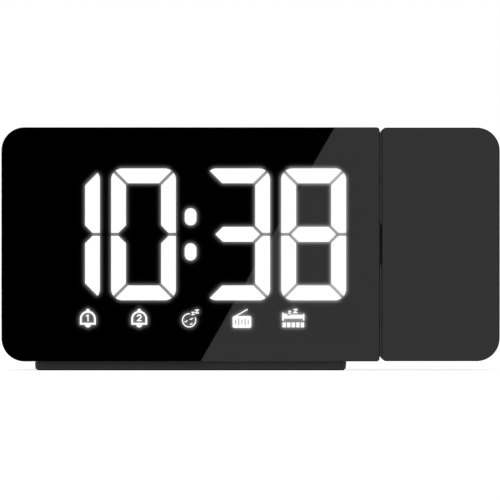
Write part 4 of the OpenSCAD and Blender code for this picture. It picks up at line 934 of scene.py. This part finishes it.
def ferrite(place, facing):
    y = axis(place, 1) / MM
    steel = (y < plates_y[0]) + (y > plates_y[1])
    grain = lumps(place, 0.4, 4.0)
    grey = between((0.030, 0.030, 0.033), (0.050, 0.050, 0.054), grain)
    return {
        "Base Color": between(grey, (0.62, 0.60, 0.52), steel),
        "Metallic": steel,
        "Roughness": 0.6 - steel * 0.3 + grain * 0.1,
        "Normal": bumps(grain, 0.03),
    }


paint(finish("plated_steel", basket_steel), "speaker_basket")
paint(finish("cone_paper", cone_paper), "speaker_cone")
paint(finish("ferrite", ferrite), "speaker_magnet")


# Back sockets: the power jack is black nylon round a brass pin, the USB outlet a folded steel shell round
# a white tongue, and the aerial wire's grommet is soft black rubber.
socket_z, pin_end, pin_reach = 25.0, 10.5, 1.265
tongue_w, tongue_t, contact_pitch, contact_share = 11.8, 4.2, 2.4, 0.44


def jack_nylon(place, facing):
    x, y, z = (axis(place, k) / MM for k in range(3))
    pin = disc(x, z, (jack_x, socket_z), 2 * pin_reach) * (y > pin_end)
    grain = lumps(place, 0.25, 2.0)
    return {
        "Base Color": between((0.014, 0.014, 0.015), (0.80, 0.58, 0.24), pin),
        "Metallic": pin,
        "Roughness": 0.42 - pin * 0.2 + grain * 0.08,
        "Normal": bumps(grain, 0.015),
    }


def usb_shell(place, facing):
    dx, dz = axis(place, 0) / MM - usb_x, axis(place, 2) / MM - socket_z
    tongue = (abs(dx) < tongue_w / 2) * (abs(dz) < tongue_t / 2)
    line = abs(repeat(dx * MM, contact_pitch)) < contact_share / 2
    contact = tongue * line * (axis(facing, 2) < -0.5)
    brushed = lumps(place, 0.3, 3.0, (0.3, 1, 1))
    shell_and_tongue = between((0.64, 0.64, 0.63), (0.72, 0.72, 0.70), tongue)
    return {
        "Base Color": between(shell_and_tongue, (0.83, 0.60, 0.25), contact),
        "Metallic": either(1 - tongue, contact),
        "Roughness": 0.22 + brushed * 0.12 + tongue * 0.2,
        "Normal": bumps(brushed, 0.006),
    }


def grommet_rubber(place, facing):
    grain = lumps(place, 0.4, 4.0)
    return {
        "Base Color": between((0.012, 0.012, 0.012), (0.030, 0.029, 0.028), step(grain, 0.4, 0.8)),
        "Roughness": 0.7 + grain * 0.15,
        "Normal": bumps(grain, 0.02),
    }


paint(finish("jack_nylon", jack_nylon), "power_jack")
paint(finish("usb_shell", usb_shell), "usb_port")
paint(finish("grommet_rubber", grommet_rubber), "antenna_grommet")


# Keys: the snooze bar and six small caps moulded in black ABS with a satin finish, each with a pad-printed
# sign. The projector key on the back of the head is alike.
def key_abs(place, facing):
    texture = spark_texture(place, 0.16)
    touched = step(lumps(place, 5, 3.0), 0.45, 0.7) * (axis(facing, 2) > 0.7)
    return {
        "Base Color": (0.014, 0.014, 0.0145),
        "Roughness": 0.34 + texture * 0.06 - touched * 0.06,
        "IOR": 1.45,
        "Normal": bumps(texture, 0.012),
    }


keys = {
    "snooze_bar": 0.0, "minus_key": -56.4, "plus_key": -45.2, "sleep_key": -34.0,
    "radio_key": 34.0, "alarm_1_key": 45.2, "alarm_2_key": 56.4,
}
key_y, key_top, key_edge = -2.0, 92.6, 0.35
projector_key_face, projector_key_edge = 19.9, 0.3
key_finish = finish("key_abs", key_abs)
for key in keys:
    mesh = solid_of(key)
    ease(mesh, key_edge, lambda x, y, z: at(z, key_top))
    shaped(key + "_cap", mesh, key_finish, key, key)
mesh = solid_of("projector_key")
ease(mesh, projector_key_edge, lambda x, y, z: at(y, projector_key_face))
shaped("projector_key_cap", mesh, key_finish, "projector_key", "projector_key")


def arc(x, y, radius, start, end, steps=14):
    turn = [math.radians(start + (end - start) * k / steps) for k in range(steps + 1)]
    return [(x + radius * math.cos(a), y + radius * math.sin(a)) for a in turn]


def bell(dots):
    dome = [(-1.5, -0.9), *arc(0, 0.6, 1.25, 180, 0), (1.5, -0.9), (-1.5, -0.9)]
    strokes = [dome, [(0, 1.85), (0, 2.25)], arc(0, -0.9, 0.55, 200, 340)]
    return strokes + [[(2.3, -0.7 + 1.1 * k), (2.3, -0.25 + 1.1 * k)] for k in range(dots)]


signs = {
    "snooze_bar": [[*arc(0, 0, 2.4, 60, 300), *arc(1.1, 0, 2.08, 275, 85)]],
    "minus_key": [[(-1.7, 0), (1.7, 0)]],
    "plus_key": [[(-1.7, 0), (1.7, 0)], [(0, -1.7), (0, 1.7)]],
    "sleep_key": [[(-2.3, -1.5), (-2.3, 1.2)], [(-2.3, -0.7), (2.3, -0.7), (2.3, -1.5)],
                  [(-1.0, 0.0), *arc(1.5, -0.2, 0.8, 90, 0)], arc(-1.55, 0.15, 0.4, 0, 360)],
    "radio_key": [arc(0, -1.2, 0.25, 0, 360), arc(0, -1.2, 1.3, 35, 145), arc(0, -1.2, 2.4, 35, 145)],
    "alarm_1_key": bell(1),
    "alarm_2_key": bell(2),
}
ink_w, ink_t, ink_lap = 0.38, 0.03, 0.004


def sign_ink(place, facing):
    cover = lumps(place, 0.2, 3.0)
    return {
        "Base Color": between((0.62, 0.62, 0.61), (0.76, 0.76, 0.75), cover),
        "Roughness": 0.5 + cover * 0.1,
        "Normal": bumps(cover, 0.005),
    }


ink = finish("sign_ink", sign_ink)
for key, x in keys.items():
    mesh = bmesh.new()
    for number, line in enumerate(signs[key]):
        level = (key_top + ink_t - ink_lap * number) * MM
        line = [Vector(point) for point in line]
        closed = (line[0] - line[-1]).length < 0.01
        sides = []
        for k, point in enumerate(line):
            before = line[k - 1] if k else (line[-2] if closed else None)
            after = line[k + 1] if k + 1 < len(line) else (line[1] if closed else None)
            ways = [(b - a).normalized() for a, b in ((before, point), (point, after)) if a and b]
            way = sum(ways, Vector((0, 0))).normalized()
            reach = ink_w / 2 / max(0.5, way.dot(ways[0]))
            out = Vector((-way.y, way.x)) * reach
            middle = Vector((mid_x + x, key_y)) + point
            sides.append([mesh.verts.new((*(q * MM), level)) for q in (middle + out, middle - out)])
        for (a, b), (c, d) in zip(sides, sides[1:]):
            mesh.faces.new((a, b, d, c))
    for face in mesh.faces:
        face.normal_update()
        if face.normal.z < 0:
            face.normal_flip()
    sign_mesh = bpy.data.meshes.new(key + "_sign")
    mesh.to_mesh(sign_mesh)
    mesh.free()
    sign = bpy.data.objects.new(key + "_sign", sign_mesh)
    bpy.context.scene.collection.objects.link(sign)
    sign_mesh.materials.append(ink)
    thickness = sign.modifiers.new("thickness", "SOLIDIFY")
    thickness.thickness = ink_t * MM
    thickness.offset = -1
    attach(sign, key)


# Swivel: a turned white acetal bush in the body, a hollow die-cast zinc shaft screwed to the head, and
# the sleeved leads that run through it.
axis_y = -4.0
strand_along, strand_round = 0.9, 0.7


def turned(colour, dark, roughness, metallic):
    """A part turned round the swivel's axis, with tool rings."""

    def make(place, facing):
        x, dy, dz = axis(place, 0) / MM, axis(place, 1) / MM - axis_y, axis(place, 2) / MM - axis_z
        radius = (dy * dy + dz * dz) ** 0.5
        ring = place.node("TexNoise", {"noise_dimensions": "1D"}, {"W": radius + x, "Scale": 4.0})
        mottle = lumps(place, 2.5, 4.0)
        return {
            "Base Color": between(dark, colour, mottle),
            "Metallic": metallic,
            "Roughness": roughness + ring * 0.14,
            "Normal": bumps(ring, 0.02),
        }

    return make


def braid(place, facing):
    along = axis(place, 0) / (strand_along * MM)
    round_it = (axis(place, 1) + axis(place, 2)) / (strand_round * MM)
    weave = along.math("SINE", (along + round_it) * math.pi)
    cross = along.math("SINE", (along - round_it) * math.pi)
    strands = weave * cross * 0.5 + 0.5
    return {
        "Base Color": between((0.010, 0.010, 0.010), (0.040, 0.040, 0.041), strands),
        "Roughness": 0.6 + strands * 0.15,
        "Normal": bumps(strands, 0.08),
    }


acetal = turned((0.80, 0.79, 0.76), dark=(0.74, 0.73, 0.70), roughness=0.35, metallic=0.0)
cast_zinc = turned((0.48, 0.49, 0.51), dark=(0.36, 0.37, 0.39), roughness=0.35, metallic=1.0)
paint(finish("acetal_bush", acetal), "hub_bush")
paint(finish("zinc_shaft", cast_zinc), "swivel_shaft")
paint(finish("braid_sleeve", braid), "body_lead", "head_lead")


# Projector inside the head: an aluminium heat sink, a black light tunnel and lens carrier of glass-filled
# nylon, a glass LCD panel, and clear acrylic lenses with a faint bloom.
def extruded_aluminium(place, facing):
    drawn = lumps(place, 0.25, 4.0, (1, 0.05, 1))
    return {
        "Base Color": between((0.66, 0.67, 0.68), (0.78, 0.79, 0.80), drawn),
        "Metallic": 1.0,
        "Roughness": 0.3 + drawn * 0.15,
        "Normal": bumps(drawn, 0.015),
    }


def glass_nylon(place, facing):
    fibres = lumps(place, 0.5, 4.0, (1, 1, 0.35))
    return {
        "Base Color": between((0.010, 0.010, 0.010), (0.026, 0.026, 0.026), step(fibres, 0.5, 0.75)),
        "Roughness": 0.55 + fibres * 0.15,
        "Normal": bumps(fibres, 0.03),
    }


window_w, cell_pitch = 14.4, 0.6


def panel_glass(place, facing):
    dx, dy = axis(place, 0) / MM - optic_x, axis(place, 1) / MM - optic_y
    window = (abs(dx) < window_w / 2) * (abs(dy) < window_w / 2)
    lines = [step(abs(repeat(axis(place, k), cell_pitch)), 0.42, 0.46) for k in (0, 1)]
    cells = between((0.16, 0.18, 0.20), (0.09, 0.10, 0.11), either(*lines))
    return {
        "Base Color": between((0.05, 0.055, 0.06), cells, window),
        "Roughness": 0.06 + window * 0.06,
        "Normal": bumps(lumps(place, 8, 1.0), 0.004),
    }


def clear_acrylic(place, facing):
    bloom = lumps(place, 6, 3.0)
    return {
        "Base Color": between((0.93, 0.95, 0.97), (0.97, 0.98, 0.98), bloom),
        "Roughness": bloom * 0.03,
        "IOR": 1.49,
        "Transmission Weight": 1.0,
        "Normal": bumps(bloom, 0.002),
    }


paint(finish("extruded_aluminium", extruded_aluminium), "heat_sink")
paint(finish("glass_nylon", glass_nylon), "light_tunnel", "lens_carrier")
paint(finish("panel_glass", panel_glass), "lcd_panel")
paint(finish("clear_acrylic", clear_acrylic), "condenser_lens", "projection_lenses")


# Projector's outside: a black acetal barrel with an anti-glare thread inside, a knurled focus ring that
# shows in a slot at the back, and a turned trim ring round the lens on top.
def ring_finish(base, roughness, pitch, depth):
    def make(place, facing):
        dx, dy = axis(place, 0) / MM - optic_x, axis(place, 1) / MM - optic_y
        radius = (dx * dx + dy * dy) ** 0.5
        height = axis(place, 2) / MM
        thread = radius.math("SINE", (radius + height) * (2 * math.pi / pitch))
        grain = lumps(place, 0.3, 3.0)
        return {
            "Base Color": between(tuple(0.7 * c for c in base), base, grain),
            "Roughness": roughness + grain * 0.1,
            "Normal": bumps(thread * 0.5 + grain * 0.3, depth),
        }

    return make


threaded = ring_finish((0.016, 0.016, 0.016), roughness=0.5, pitch=0.8, depth=0.05)
moulded = ring_finish((0.018, 0.018, 0.019), roughness=0.4, pitch=1.6, depth=0.02)
lacquered = ring_finish((0.012, 0.012, 0.013), roughness=0.16, pitch=0.5, depth=0.01)
paint(finish("barrel_acetal", threaded), "lens_barrel")
paint(finish("ring_acetal", moulded), "focus_ring")
paint(finish("trim_lacquer", lacquered), "trim_ring")
